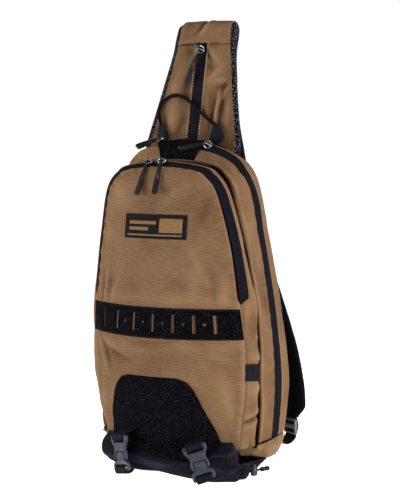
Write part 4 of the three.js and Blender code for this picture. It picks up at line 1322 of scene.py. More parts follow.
    def pocket(self, t: Array, s: Array) -> Array:
        """The side of the pocket.

        Formula: the outline at share t; s first slopes out and back over the bevel, then goes back to the
        groove with a bulge on the way, and beyond 1 straight back, as the flange behind the groove.

        Args: t, s: shares along the outline and across the side.

        Returns: points in mm.
        """
        x, z, out_x, out_z = self.pocket_arch.at(t)
        x = x + self.pocket_leaning(z)
        front = self.front_y(x, z)
        rear = self.groove(z) - self.gap - 0.2
        w = np.clip((s - self.bevel_share) / (1 - self.bevel_share), 0, 1)
        slope = np.minimum(s / self.bevel_share, 1)
        bevel = mix(self.bevel, self.bevel_top, np.clip(out_z, 0, 1) ** 2)
        out = bevel * slope + w * (self.rear(z) - bevel) + self.bulge(z) * 4 * w * (1 - w)
        y = mix(front + self.bevel * slope, rear, w) + self.flange * np.clip(s - 1, 0, 1)
        hem = self.hem_rise * np.minimum(s, 1) * (1 - ramp(z, 0, 36))
        return np.stack([x + out_x * out, y, z + out_z * out + hem], -1)

    def gusset_start(self, t: Array) -> Array:
        """The share s where the side canvas starts: behind the zip, or at the front below its end."""
        return self.bevel_share * self.zipped(self.pocket_arch.at(t)[1])

    def band_x(self, length: Array, z: float) -> Array:
        """x of places this far along a level line over the front, from its middle.

        Args: length: in mm, below 0 towards -X. z: the line's height.

        Returns: x in mm.
        """
        x = np.linspace(0, 130, 1301)
        far = np.r_[0, np.cumsum(np.hypot(np.diff(x), np.diff(self.front_y(x, np.full_like(x, z)))))]
        return np.sign(length) * np.interp(np.abs(length), far, x)


def outward(surface: Callable[[Array, Array], Array], t: float, s: float, step: float = 0.004) -> Array:
    """The direction that faces out of a side surface at one place, from its slopes both ways."""
    p = surface(t + np.array([step, -step, 0, 0]), s + np.array([0, 0, step, -step]))
    return unit(-np.cross(p[0] - p[1], p[2] - p[3]))


# Sub-assemblies


@dataclass
class ZipGrid:
    """Steps along and across a zip, and the height of its tape and coil at each."""

    t: Array
    v: Array
    height: Array


def zip_relief(length: float, width: float, tooth: float = 1.6) -> ZipGrid:
    """A closed coil zip seen from its flat side.

    Formula: two low rolls on either side of a slit along the middle, higher and lower by turns at every half
    tooth.

    Args: length, width: of the tape, in mm. tooth: pitch of the ribs.

    Returns: shares along and across, and heights in mm.
    """
    steps = int(length / tooth * 2)
    t = np.linspace(0, 1, steps + 1)[:, None]
    v = np.linspace(0, 1, 19)[None, :]
    off = np.abs(v - 0.5) * width
    roll = bell(off - 1.6, 1.3) - 0.7 * bell(off, 0.5)
    rib = 0.85 + 0.15 * np.where(np.arange(steps + 1)[:, None] % 2 == 0, 1.0, -1.0)
    return ZipGrid(t, v, 0.4 * roll * rib)


@dataclass
class MainCompartment:
    """The bag behind the pocket: canvas before and behind the zip, the zip, the floor and a hidden wall."""

    form: PackForm
    zip_width: float = 15.0
    steps: int = 300
    front_depth: float = 44.0
    rear_depth: float = 26.0
    floor_depth: float = 60.0
    hem: float = 3.0
    stitch_inset: float = 2.6
    # A painted highlight along the canvas's edges at the zip: its strength, and its width in mm.
    zip_edge_highlight: float = 0.9
    zip_edge_highlight_width: float = 1.6
    waves: tuple = (Wave(1.3, (46, 30, 46)), Wave(0.6, 19, 7), Wave(0.25, 9, 17))
    crease_pitch: tuple = (60, 24, 40)
    floor_wave: Wave = Wave(2.4, (34, 20, 16))
    floor_grain: Wave = Wave(0.8, 9, 5)
    floor_creases: tuple = (36, 19, 15)
    crumple = Crumple(11)

    def grid(self, arch: Arch, low: Line, high: Line, v: Array) -> Array:
        """Points of the side between two lines of shares, at steps along the outline and shares v across."""
        t = np.linspace(0, 1, self.steps + 1)[:, None]
        return self.form.side(arch, t, mix(low(t), high(t), v[None, :]))

    def relief(self, p: Array, pucker: Array) -> Array:
        """Soft waves in the cloth, and short puckers where it is sewn to the zip.

        Args: p: points of the cloth. pucker: 1 at the zip, dying away from it.

        Returns: heights in mm.
        """
        creases = self.crumple.creases(p + 23, self.crease_pitch)
        waves = self.crumple.waves(p, *self.waves) + 1.3 * creases - 0.4
        sewn = 0.3 * pucker * np.sin(p[..., 2] / 3.1 + 3 * self.crumple(p, 40))
        return waves * (1 - 0.7 * pucker) + sewn

    def build(self) -> None:
        """Makes and dresses the compartment's pieces."""
        front, rear = self.build_front(), self.build_rear()
        lines = front.line(Edge.END_V, self.stitch_inset), rear.line(Edge.START_V, self.stitch_inset)
        piece("main_seam_stitches", [SEAM_STITCH.row(*line) for line in lines], CANVAS)
        self.build_zip()
        self.build_floor()
        self.build_divider()

    def build_front(self) -> Cloth:
        """The canvas before the zip: a deep groove by the pocket with painted shade in it, a lip beside it,
        and a painted highlight along the zip.

        Returns: the sheet.
        """
        form, half = self.form, self.zip_width / 2
        v = spaced(34, self.front_depth, self.hem)
        grid = self.grid(form.main, lambda t: 0 * t, lambda t: form.zip_share(t, -half), v)
        deep, left = v[None, :] * self.front_depth, (1 - v)[None, :] * self.front_depth
        lip = 1.6 * bell(deep - 8, 4.5) * (1 + 1.2 * self.crumple(grid, (18, 18, 14)))
        waves = self.relief(grid, np.exp(-left / 6)) * ramp(deep, 2, 14)
        high = ramp(grid[..., 2], 230, 340)
        # Painted shade in the groove by the pocket: broad low down and about the band, narrow near the top.
        broad = mix(4.2, 1.8, high) + 3.8 * bell(grid[..., 2] - 175, 50)
        dark = -1.7 * np.exp(-((deep / (broad + self.crumple(grid + 3, 18))) ** 4))
        relief = waves + lip - mix(8, 2, high) * bell(deep, 3.4)
        # Painted shading: the groove's painted shade, and a painted highlight along the edge at the zip.
        wear_and_painted_shading = dark + self.zip_edge_highlight * bell(left, self.zip_edge_highlight_width)
        sheet = cloth(grid, -1, form.wall, relief=relief, wear_and_painted_shading=wear_and_painted_shading)
        piece("front_gusset_canvas", [sheet], PLAIN_CANVAS, "front_gusset")
        return sheet

    def build_rear(self) -> Cloth:
        """The canvas behind the zip, with a painted highlight along the zip.

        Returns: the sheet.
        """
        form, half = self.form, self.zip_width / 2
        v = spaced(22, self.rear_depth, self.hem)
        grid = self.grid(form.main, lambda t: form.zip_share(t, half), lambda t: 0 * t + 1, v)
        deep = v[None, :] * self.rear_depth
        relief = 0.8 * self.relief(grid, np.exp(-deep / 6))
        # A painted highlight along the edge at the zip.
        sheet = cloth(grid, -1, form.wall, relief=relief, wear_and_painted_shading=self.zip_edge_highlight * bell(deep, self.zip_edge_highlight_width))
        piece("rear_gusset_canvas", [sheet], PLAIN_CANVAS, "rear_gusset")
        return sheet

    def build_zip(self) -> None:
        """The zip, its tape's edges sunk under the canvas."""
        form, half = self.form, self.zip_width / 2
        inset = half + form.trim
        coil = zip_relief(form.main.length, 2 * inset)
        under = ramp(np.abs(coil.v - 0.5) * 2 * inset, half - 0.8, half + 0.6)
        low, high = (form.zip_share(coil.t, offset) for offset in (-inset, inset))
        tape = form.side(form.main, coil.t, mix(low, high, coil.v))
        sheet = cloth(tape, -1, form.trim, relief=coil.height - 0.5 - 1.6 * under, hem=0.5)
        piece("main_zip_tape", [sheet], ZIP_TAPE, "main_zip")

    def build_floor(self) -> None:
        """The floor: crushed canvas, level at its side seams, painted lighter all over, with painted
        highlight on its creases and painted shade along its side seams.
        """
        form, crumple = self.form, self.crumple
        v = spaced(34, self.floor_depth, self.hem)
        grid = self.grid(form.floor, lambda t: 0 * t, lambda t: 0 * t + 1, v)
        creases = crumple.creases(grid, self.floor_creases)
        crush = crumple.waves(grid, self.floor_wave) + 3.4 * creases - 1.6
        crush = crush + crumple.waves(grid, self.floor_grain)
        step = np.arange(self.steps + 1)
        seam = np.minimum(step, step[::-1])[:, None] * form.floor.length / self.steps
        # Painted light: the whole floor painted lighter, its creases painted as highlights, and painted shade
        # along its side seams.
        painted_light = 1.1 + 0.5 * creases - 1.9 * bell(seam, 1.8)
        sheet = cloth(grid, -1, form.wall, relief=crush * ramp(seam, 0, 5), wear_and_painted_shading=painted_light)
        piece("floor_canvas", [sheet], PLAIN_CANVAS, "floor_panel")

    def build_divider(self) -> None:
        """The wall behind the pocket: level lines between the sides of a drawn-in outline."""
        form = self.form
        t = np.linspace(0.004, 0.5, 90)
        half, level = form.main.inner(t, form.drawn_in(form.main, t) + 4.5)
        share = np.linspace(-1, 1, 41)
        x = np.maximum(half, 0.6)[:, None] * share
        z = np.repeat(level[:, None], len(share), 1)
        grid = np.stack([x, form.groove(z), z], -1)
        forward = np.broadcast_to(np.array([0.0, -1.0, 0.0]), grid.shape)
        sheet = cloth(grid, forward, form.wall, relief=0.5 * self.crumple(grid, 40) - 0.5)
        piece("divider_canvas", [sheet], CANVAS, "divider_panel")


@dataclass
class FrontPocket:
    """The front pocket: its arched front with soft wrinkles, its zip, its side and its floor."""

    form: PackForm
    inset: float = 1.7
    seam_inset: float = -1.0
    side_depth: float = 40.0
    zip_width: float = 13.0
    tab_z: float = 112.5
    tab_half: float = 12.0
    crease_z: float = 47.0
    field_half: Column = Column((0, 14, 60, 92, 100, 103, 108), (92, 91, 78, 61, 52, 40, 0))
    waves: tuple = (Wave(1.1, (70, 60, 50)), Wave(0.6, (34, 30, 22), 31), Wave(0.25, (15, 12, 9), 3))
    side_waves: tuple = (Wave(1.1, (40, 30, 34)), Wave(0.5, 15, 9))
    wrinkles: tuple = folds(
        (-103, 214, 84, 22, 3.5, 2.6), (-96, 216, 88, 24, 3.0, -2.2), (-88, 216, 84, 26, 4.0, 2.4),
        (-79, 218, 88, 24, 3.5, -1.8), (-66, 222, 66, 26, 5.0, 1.6), (60, 226, 84, 22, 8.0, 1.2),
        (96, 222, 98, 26, 7.0, 1.6), (86, 214, 92, 20, 4.0, -1.4), (74, 146, -24, 26, 6.0, -2.6),
        (92, 134, -30, 22, 5.0, 2.4), (58, 150, -14, 22, 5.0, 1.6), (-96, 128, -62, 26, 4.0, 2.8),
        (-88, 130, -62, 24, 3.6, -2.6), (-62, 138, -20, 26, 4.5, 2.0), (-60, 129, -18, 24, 4.0, -1.6),
        (-8, 150, 4, 24, 5.0, -1.6), (-20, 138, -8, 26, 5.0, 1.4), (-104, 60, 80, 40, 6.0, 2.0),
        (100, 70, 96, 40, 7.0, 1.6), (20, 348, 40, 30, 9.0, 1.2), (-58, 352, -44, 28, 9.0, 1.3),
        (70, 330, 70, 34, 9.0, -1.4), (-84, 300, 82, 40, 7.0, 1.2), (66, 262, 118, 34, 7.0, 1.4),
        (78, 250, 118, 30, 6.0, -1.4),
    )
    crumple = Crumple(23)

    def build(self) -> None:
        """Makes and dresses the pocket's pieces."""
        self.build_panel()
        self.build_side()
        self.build_zip()
        self.build_floor()

    def outline_reach(self, x: Array, z: Array) -> tuple[Array, Array]:
        """Distance in mm from each place on the front to the pocket's outline, and the place along it.

        Args: x, z: places on the front.

        Returns: both in mm.
        """
        t = np.linspace(0, 1, 700)
        ox, oz, out_x, out_z = self.form.pocket_arch.at(t)
        ox = ox - out_x * self.inset + self.form.pocket_leaning(oz)
        oz = oz - out_z * self.inset
        square = (x.ravel()[:, None] - ox) ** 2 + (z.ravel()[:, None] - oz) ** 2
        near = np.argmin(square, axis=1)
        reach = np.sqrt(square[np.arange(len(near)), near])
        return reach.reshape(x.shape), (t[near] * self.form.pocket_arch.length).reshape(x.shape)

    def panel_relief(self, x: Array, z: Array, reach: Array, place: Array) -> Array:
        """Height of the front's wrinkles.

        Formula: folds, soft waves, puckers that die away from the zip, and rolls of cloth above and below the
        band; all but level where trim is sewn on.

        Args: x, z: places on the front. reach, place: distance to the outline, and the place along it.

        Returns: heights in mm.
        """
        p = np.stack([x, 0 * x, z], -1)
        off_band = np.maximum(np.abs(z - TRIM.band_z) - TRIM.band_height / 2, 0)
        off_badge = np.maximum(
            np.abs(x) - TRIM.badge_width / 2, np.abs(z - TRIM.badge_z) - TRIM.badge_height / 2
        )
        free = ramp(off_band, 0, 9) * ramp(off_badge, -1, 9)
        free = free * np.maximum(ramp(np.abs(x) - self.field_half(z), -1, 9), ramp(z, 103, 112))
        waves = self.crumple.waves(p, *self.waves)
        roll = 1.5 * bell(off_band - 11, 9) * ramp(reach, 0, 22)
        pucker = 0.55 * np.exp(-reach / 8) * np.sin(place / 2.7 + 4 * self.crumple(p, 50))
        settled = ramp(reach, 0, 14)
        return free * (settled * (rise_of(self.wrinkles, x, z) + waves) + roll + pucker) + 0.4 * (1 - free)

    def build_panel(self) -> None:
        """The front: level lines from one side of the outline to the other."""
        form, arch = self.form, self.form.pocket_arch
        t = 0.5 * spaced(184, arch.length / 2, 3.0)
        inset = mix(self.seam_inset, self.inset, form.zipped(arch.at(t)[1]))
        half, level = arch.inner(t, inset)
        half, level = np.maximum(half, 0.4)[:, None], level[:, None]
        share = 2 * spaced(118, 230, 4.0)[None, :] - 1
        x, z = half * share + form.pocket_leaning(level), np.repeat(level, share.shape[1], 1)
        reach, place = self.outline_reach(x, z)
        grid, out = form.front(x, z)
        zipped = form.zipped(z)
        hem = arc(1 - np.clip(reach / 2.2, 0, 1)) * zipped
        ridge = bell(reach, 3) * (1 - zipped) * ramp(z, 8, 30)
        relief = self.panel_relief(x, z, reach, place) - 0.9 * hem + 1.2 * ridge
        # Painted highlight on the ridge at the front's edge below the zip, and along the front's edge at the
        # zip.
        wear_and_painted_shading = 0.35 * ridge + 0.7 * zipped * bell(reach, 1.5)
        sheet = cloth(grid, out, form.wall, relief=relief, hem=0.3, uv=np.stack([z, x], -1), wear_and_painted_shading=wear_and_painted_shading)
        piece("front_canvas", [sheet], CANVAS, "front_panel")

    def side_relief(self, p: Array, v: Array) -> Array:
        """Height of the side's wrinkles: pinched at the tab, creased low down, crumpled by the band's end.

        Args: p: points of the side. v: shares across it.

        Returns: heights in mm.
        """
        right = ramp(p[..., 0], 0, 30)
        z = p[..., 2]
        swell = np.sin(np.pi * np.clip(v, 0, 1)) + np.zeros_like(z)
        off_tab = np.maximum(np.abs(z - self.tab_z) - self.tab_half, 0)
        tab = 2.6 * bell(off_tab - 9, 8) - 1.4 * bell(off_tab, 4)
        tilt = z - self.crease_z - 12 * (v - 0.5)
        crease = -4.5 * bell(tilt, 2.0) + 2.2 * bell(tilt - 8, 5) + 1.6 * bell(tilt + 7, 5)
        crush = 2.2 * self.crumple(p, (15, 9, 34)) + 2.0 * self.crumple.creases(p + 5, (15, 10, 30)) - 1.0
        waves = self.crumple.waves(p, *self.side_waves)
        tucked = -4.0 * bell(np.clip(1 - v, 0, 1) * self.side_depth, 3.6)
        by_band = 1.3 * bell(z - 172, 30) * crush
        return swell * (right * (tab + by_band) + waves) + swell**0.3 * right * crease + tucked

    def build_side(self) -> None:
        """The side canvas, from the zip or the front's edge back to the flange behind the groove."""
        form, deep = self.form, self.side_depth
        t = np.linspace(0, 1, 381)[:, None]
        v = np.r_[spaced(28, deep, 3.0), 1.12, 1.24][None, :]
        s = np.maximum(mix(form.gusset_start(t), 1.0, np.minimum(v, 1)), 1 + (v - 1) / 0.24)
        grid = form.pocket(t, s)
        z = grid[..., 2]
        # Painted shade in the groove at the side's rear edge, broader about the band's height.
        dark = -1.3 * bell(np.clip(1 - v, 0, 1) * deep, 2.2 + 2.0 * bell(z - 175, 50))
        foot = np.minimum(t, 1 - t) * form.pocket_arch.length
        hem = bell(foot, 5) * (v < 1)
        low = 1 - form.zipped(z)
        inset = low * bell(v * deep, 2.6)
        zip_edge_highlight = 0.8 * (1 - low) * bell(v * deep, 1.5)
        relief = self.side_relief(grid, v) - 1.2 * inset + 1.6 * hem
        # Painted light: the side painted a little lighter all over, painted shade in the groove and where the
        # side tucks in below the zip, a painted highlight along the zip, and painted shade at the ends of its
        # foot.
        painted_light = 0.3 + dark - 0.3 * inset + zip_edge_highlight - 1.6 * bell(foot, 1.8)
        sheet = cloth(grid, -1, form.wall, relief=relief, hem=0.6, wear_and_painted_shading=painted_light)
        piece("pocket_side_canvas", [sheet], PLAIN_CANVAS, "pocket_gusset")

    def build_zip(self) -> None:
        """The zip, on the slope before the side."""
        form, arch = self.form, self.form.pocket_arch
        end = arch.share(lambda x, z: z > form.zip_end_z - 0.78 * form.zip_end_fade)
        coil = zip_relief(arch.length * (1 - 2 * end), self.zip_width)
        t = mix(end, 1 - end, coil.t)
        tape = form.pocket(t, mix(0.012, form.gusset_start(t) - 0.03, coil.v))
        sheet = cloth(tape, -1, form.trim, relief=coil.height - 0.4, hem=0.5)
        piece("pocket_zip_tape", [sheet], ZIP_TAPE, "pocket_zip")

    def build_floor(self) -> None:
        """The pocket's floor: level, from the front's lower edge back to the groove."""
        form = self.form
        x = np.linspace(-94, 94, 60)[:, None]
        v = np.linspace(0, 1, 16)[None, :]
        y = mix(form.front_y(x, np.full_like(x, 4.0)) + form.gap, form.groove(4.0) - 1, v)
        grid = np.stack([x + 0 * v, y, mix(3.4, 9.0, v) + 0 * x], -1)
        down = np.broadcast_to(-UP, grid.shape)
        sheet = cloth(grid, down, form.wall, relief=0.6 * self.crumple(grid, 22))
        piece("pocket_floor_canvas", [sheet], CANVAS, "pocket_floor")


@dataclass
class FrontTrim:
    """Trim laid on the front: the slotted band, the plain badge and the loop-fabric field."""

    form: PackForm
    pouch: "BasePouch"
    band_half: float = 118.5
    band_flare: float = 0.0008
    slot_count: int = 7
    slot_pitch: float = 31.0
    slot_shift: float = 3.6
    slot_width: float = 4.4
    slot_height: float = 25.0
    eyelet: float = 2.3
    stitch_inset: float = 2.2
    bars: tuple = (  # middle x, middle z, width, height
        (26.0, 1.5, 34.0, 19.0), (-18.5, 5.0, 44.0, 4.4), (-24.5, -3.2, 32.0, 4.4), (0.0, -11.6, 86.0, 2.2),
    )
    field_rows: tuple = (  # z, reach to -x and to +x
        (14, 92, 85), (40, 87, 78), (60, 79, 71), (80, 70, 64), (92, 61, 58), (100, 52, 50), (104, 38, 38),
    )
    flap_rows: tuple = (  # share round the pouch, reach to -x and to +x
        (0.02, 91, 85), (0.12, 84, 78), (0.2, 74, 66), (0.24, 60, 50),
    )
    crumple = Crumple(37, 40)

    def build(self) -> None:
        """Makes and dresses the trim."""
        self.build_band()
        self.build_badge()
        self.build_field()

    def along_band(self, order: Array) -> Array:
        """How far along the band cuts of these numbers lie: even steps, those near the middle moved to +X."""
        return order * self.slot_pitch + self.slot_shift * (1 - (order / (self.slot_count // 2)) ** 2)

    def lines(self, cuts: Array, half: float, count: int) -> Array:
        """Grid lines across the band: those along the cuts, and even ones that keep clear of them.

        Args: cuts: lines to keep. half: half the band's size that way. count: even lines.

        Returns: places in mm, rising.
        """
        even = half * (2 * spaced(count, 2 * half, 2.0) - 1)
        far = np.abs(even[:, None] - cuts).min(1) >= 0.7
        far[[0, -1]] = True
        return np.unique(np.round(np.concatenate([cuts, even[far]]), 3))

    def build_band(self) -> None:
        """The band: a level strip over the front, with upright slots and round eyelets cut through.

        Formula: grid lines run along each cut's edges, cells inside a cut are left out, and the lines round
        an eyelet are drawn from a square onto a circle.
        """
        form, width, tall = self.form, self.slot_width / 2, self.slot_height / 2
        order = np.arange(self.slot_count) - self.slot_count // 2
        slots = form.band_x(self.along_band(order), TRIM.band_z)
        eyelets = form.band_x(self.along_band(order[1:-1] + 0.5), TRIM.band_z)
        ring = self.eyelet * np.array([-2.2, -1.6, -1, -0.5, 0, 0.5, 1, 1.6, 2.2])
        beside = (slots[:, None] + width * np.array([-1, -0.5, 0, 0.5, 1])).ravel()
        x_lines = self.lines(np.concatenate([beside, (eyelets[:, None] + ring).ravel()]), self.band_half, 100)
        above = tall * np.array([-1, -0.94, 0.94, 1])
        z_lines = self.lines(np.concatenate([above, ring]), TRIM.band_height / 2, 22)
        x, z = np.meshgrid(x_lines, z_lines, indexing="ij")
        mid_x, mid_z = (x[:-1, :-1] + x[1:, 1:]) / 2, (z[:-1, :-1] + z[1:, 1:]) / 2
        cuts = [
            (np.abs(mid_x[..., None] - at).min(-1) < half) & (np.abs(mid_z) < high)
            for at, half, high in ((slots, width, tall), (eyelets, self.eyelet, self.eyelet))
        ]
        nearest = eyelets[np.abs(x[..., None] - eyelets).argmin(-1)]
        dx = x - nearest
        square, circle = np.maximum(np.abs(dx), np.abs(z)), np.maximum(np.hypot(dx, z), 1e-6)
        keep_square = np.clip((square / self.eyelet - 1) / 1.2, 0, 1)
        pull = np.where(square < 2.2 * self.eyelet, mix(square / circle, 1.0, keep_square), 1.0)
        x, z = nearest + dx * pull, z * pull
        x = x * (1 - self.band_flare * z)
        grid, out = form.front(x, TRIM.band_z + z)
        relief = 0.16 * self.crumple.waves(grid, *NAP) + 0.5 * self.crumple(grid, (40, 30, 30))
        lift = form.lift + form.trim
        sheet = cloth(grid, out, form.trim, lift, relief, hem=1.0, uv=np.stack([x, z], -1))
        sheet.keep = ~(cuts[0] | cuts[1])
        piece("slotted_band_loop", [sheet], LOOP_PILE, "slotted_band")
        lines = [sheet.line(edge, self.stitch_inset) for edge in (Edge.START_V, Edge.END_V)]
        piece("band_stitches", [TRIM_STITCH.row(*line) for line in lines], DARK_THREAD)

    def build_badge(self) -> None:
        """The badge: a woven patch with a rolled edge, and plain tan bars and a block sewn on it."""
        form = self.form
        x = TRIM.badge_width * (spaced(70, TRIM.badge_width, 2.5)[:, None] - 0.5)
        z = TRIM.badge_height * (spaced(26, TRIM.badge_height, 2.5)[None, :] - 0.5)
        x, z = x + 0 * z, z + 0 * x
        edge = np.minimum(TRIM.badge_width / 2 - np.abs(x), TRIM.badge_height / 2 - np.abs(z))
        grid, out = form.front(x, TRIM.badge_z + z)
        border = 0.45 * bell(edge - 1.3, 0.8)
        sheet = cloth(grid, out, form.trim, form.lift + form.trim, border, hem=0.8, uv=np.stack([x, z], -1))
        piece("badge_patch", [sheet], PATCH, "badge")
        piece("badge_bars", [self.bar(*row) for row in self.bars], EMBROIDERY)

    def bar(self, x: float, z: float, width: float, height: float) -> Cloth:
        """A sewn block on the badge: a level patch of the front with its edge rolled down.

        Args: x, z: its middle on the badge. width, height: in mm.

        Returns: the block.
        """
        u = spaced(max(6, int(width / 2)), width, 1.2)[:, None]
        v = spaced(max(4, int(height / 2)), height, 1.2)[None, :]
        px, pz = x + width * (u - 0.5) + 0 * v, z + height * (v - 0.5) + 0 * u
        grid, out = self.form.front(px, TRIM.badge_z + pz)
        lift = self.form.lift + self.form.trim + 0.55
        return cloth(grid, out, 0.7, lift, hem=0.7, uv=np.stack([px, pz], -1))

    def build_field(self) -> None:
        """The loop-fabric field: level lines of a width that falls towards the top, with a rough nap."""
        form, pouch = self.form, self.pouch
        share = 2 * spaced(150, 160, 3.0)[None, :] - 1
        bottom, top = self.field_rows[0][0], self.field_rows[-1][0]
        left, right = columns(self.field_rows)
        z = mix(bottom, top, spaced(84, 89, 3.0)[1:])[:, None]
        x = np.where(share < 0, left(z), right(z)) * share
        upper, _ = form.front(x, z + 0 * x)
        upper[..., 1] -= form.lift + 3.4 * ramp(-z, -34, -bottom)
        left, right = columns(self.flap_rows)
        v = np.linspace(self.flap_rows[-1][0], self.flap_rows[0][0], 22)[:, None]
        x = np.where(share < 0, left(v), right(v)) * share
        lower = pouch.surface(pouch.place(x), v + 0 * x)
        lower[..., 1] -= 1.6
        lower[..., 2] -= 0.6
        grid = np.concatenate([lower, upper])
        relief = 0.3 * self.crumple.waves(grid, *NAP)
        piece("loop_field_pile", [cloth(grid, -1, form.trim, form.trim, relief)], LOOP_PILE, "loop_field")


@dataclass
class SideAndTop:
    """The webbing tab on the pocket's side, and the loop-fabric yoke over the top."""

    form: PackForm
    tab_levels: tuple = (101.0, 124.0)
    yoke_rear: tuple = (48.0, 54.0)
    yoke_front: tuple = (40.0, 24.0)
    crumple = Crumple(41, 40)

    def build(self) -> None:
        """Makes and dresses both."""
        self.build_tab()
        self.build_yoke()

    def build_tab(self) -> None:
        """The tab: a level strip of the pocket's side."""
        form = self.form
        low, high = (form.pocket_arch.share(lambda x, z, top=top: z > top) for top in self.tab_levels)
        u, v = spaced(16, 23, 1.5)[:, None], spaced(40, 42, 1.5)[None, :]
        grid = form.pocket(mix(low, high, u), mix(0.02, 0.9, v) + 0 * u)
        relief = 0.25 * self.crumple(grid, 9).T
        sheet = cloth(grid.swapaxes(0, 1), 1, form.trim, form.lift + form.trim, relief, hem=0.8)
        piece("side_tab_webbing", [sheet], WEBBING, "side_tab")

    def build_yoke(self) -> None:
        """The yoke: a napped patch of the side over the top, narrower towards the front."""
        form = self.form
        rear_left, rear_right, left, right = (
            form.main.share(lambda x, z, half=half: x < half) for half in (*self.yoke_rear, *self.yoke_front)
        )
        u, v = spaced(90, 97, 2.0)[:, None], spaced(44, 44, 2.0)[None, :]
        narrow = 1 - ramp(v, 0.0, 0.55)
        start, end = mix(rear_right, right, narrow), 1 - mix(rear_left, left, narrow)
        grid = form.side(form.main, mix(start, end, u), mix(0.02, 0.86, v) + 0 * u)
        relief = 0.28 * self.crumple.waves(grid, *NAP) + 0.5 * self.crumple(grid, 22)
        sheet = cloth(grid, -1, form.trim, form.lift + form.trim, relief, hem=1.4)
        piece("top_yoke_pile", [sheet], LOOP_PILE, "top_yoke")


@dataclass
class BackPanel:
    """The padded mesh back: a crowned pad with a bound edge and sewn channels."""

    form: PackForm
    thickness: float = 10.0
    top_z: float = 402.3
    rim_depth: float = 5.0
    channel_depth: float = 5.5
    channel_pitch: float = 92.0
    channel_slant: float = 0.35

    def build(self) -> None:
        """Makes and dresses the pad: level lines between drawn-in sides, crowned, and sunk at channels."""
        form = self.form
        inset = form.back_round + 0.5
        side = np.stack(form.main.inner(np.linspace(0, 0.5, 3000), inset), -1)
        side = side[side[:, 1] < self.top_z]
        foot = np.stack(form.floor.inner(np.linspace(1, 0.5, 600), inset), -1)
        foot = foot[(foot[:, 0] > 0.5) & (foot[:, 1] < side[0, 1])]
        outline = np.concatenate([foot[np.argsort(foot[:, 1])], side])
        level = mix(outline[0, 1], self.top_z, spaced(120, 400, 8.0))
        half = np.interp(level, outline[:, 1], outline[:, 0])
        share = 2 * spaced(76, 260, 8.0) - 1
        x, z = half[:, None] * share, np.repeat(level[:, None], len(share), 1)
        rows = np.abs(2 * (z - level[0]) / (level[-1] - level[0]) - 1)
        rim = np.maximum(np.abs(share)[None, :] + 0 * rows, rows)
        crown = self.thickness * (1 - 0.75 * rim**7)
        middle = bell(np.abs(x), 7) * ramp(rows, 0.95, 0.7)
        slanted = np.mod(z + self.channel_slant * np.abs(x), self.channel_pitch) - self.channel_pitch / 2
        depth = self.channel_depth * np.maximum(middle, bell(slanted, 5) * ramp(rim, 0.93, 0.8))
        base = np.stack([x, form.back(z) + 0.9, z], -1)
        outer, inner = base.copy(), base.copy()
        outer[..., 1] += crown - depth
        inner[..., 1] -= self.rim_depth
        made = piece("back_pad", [shell(outer, inner, np.stack([z, x], -1))], BACK_MESH, "back_panel")


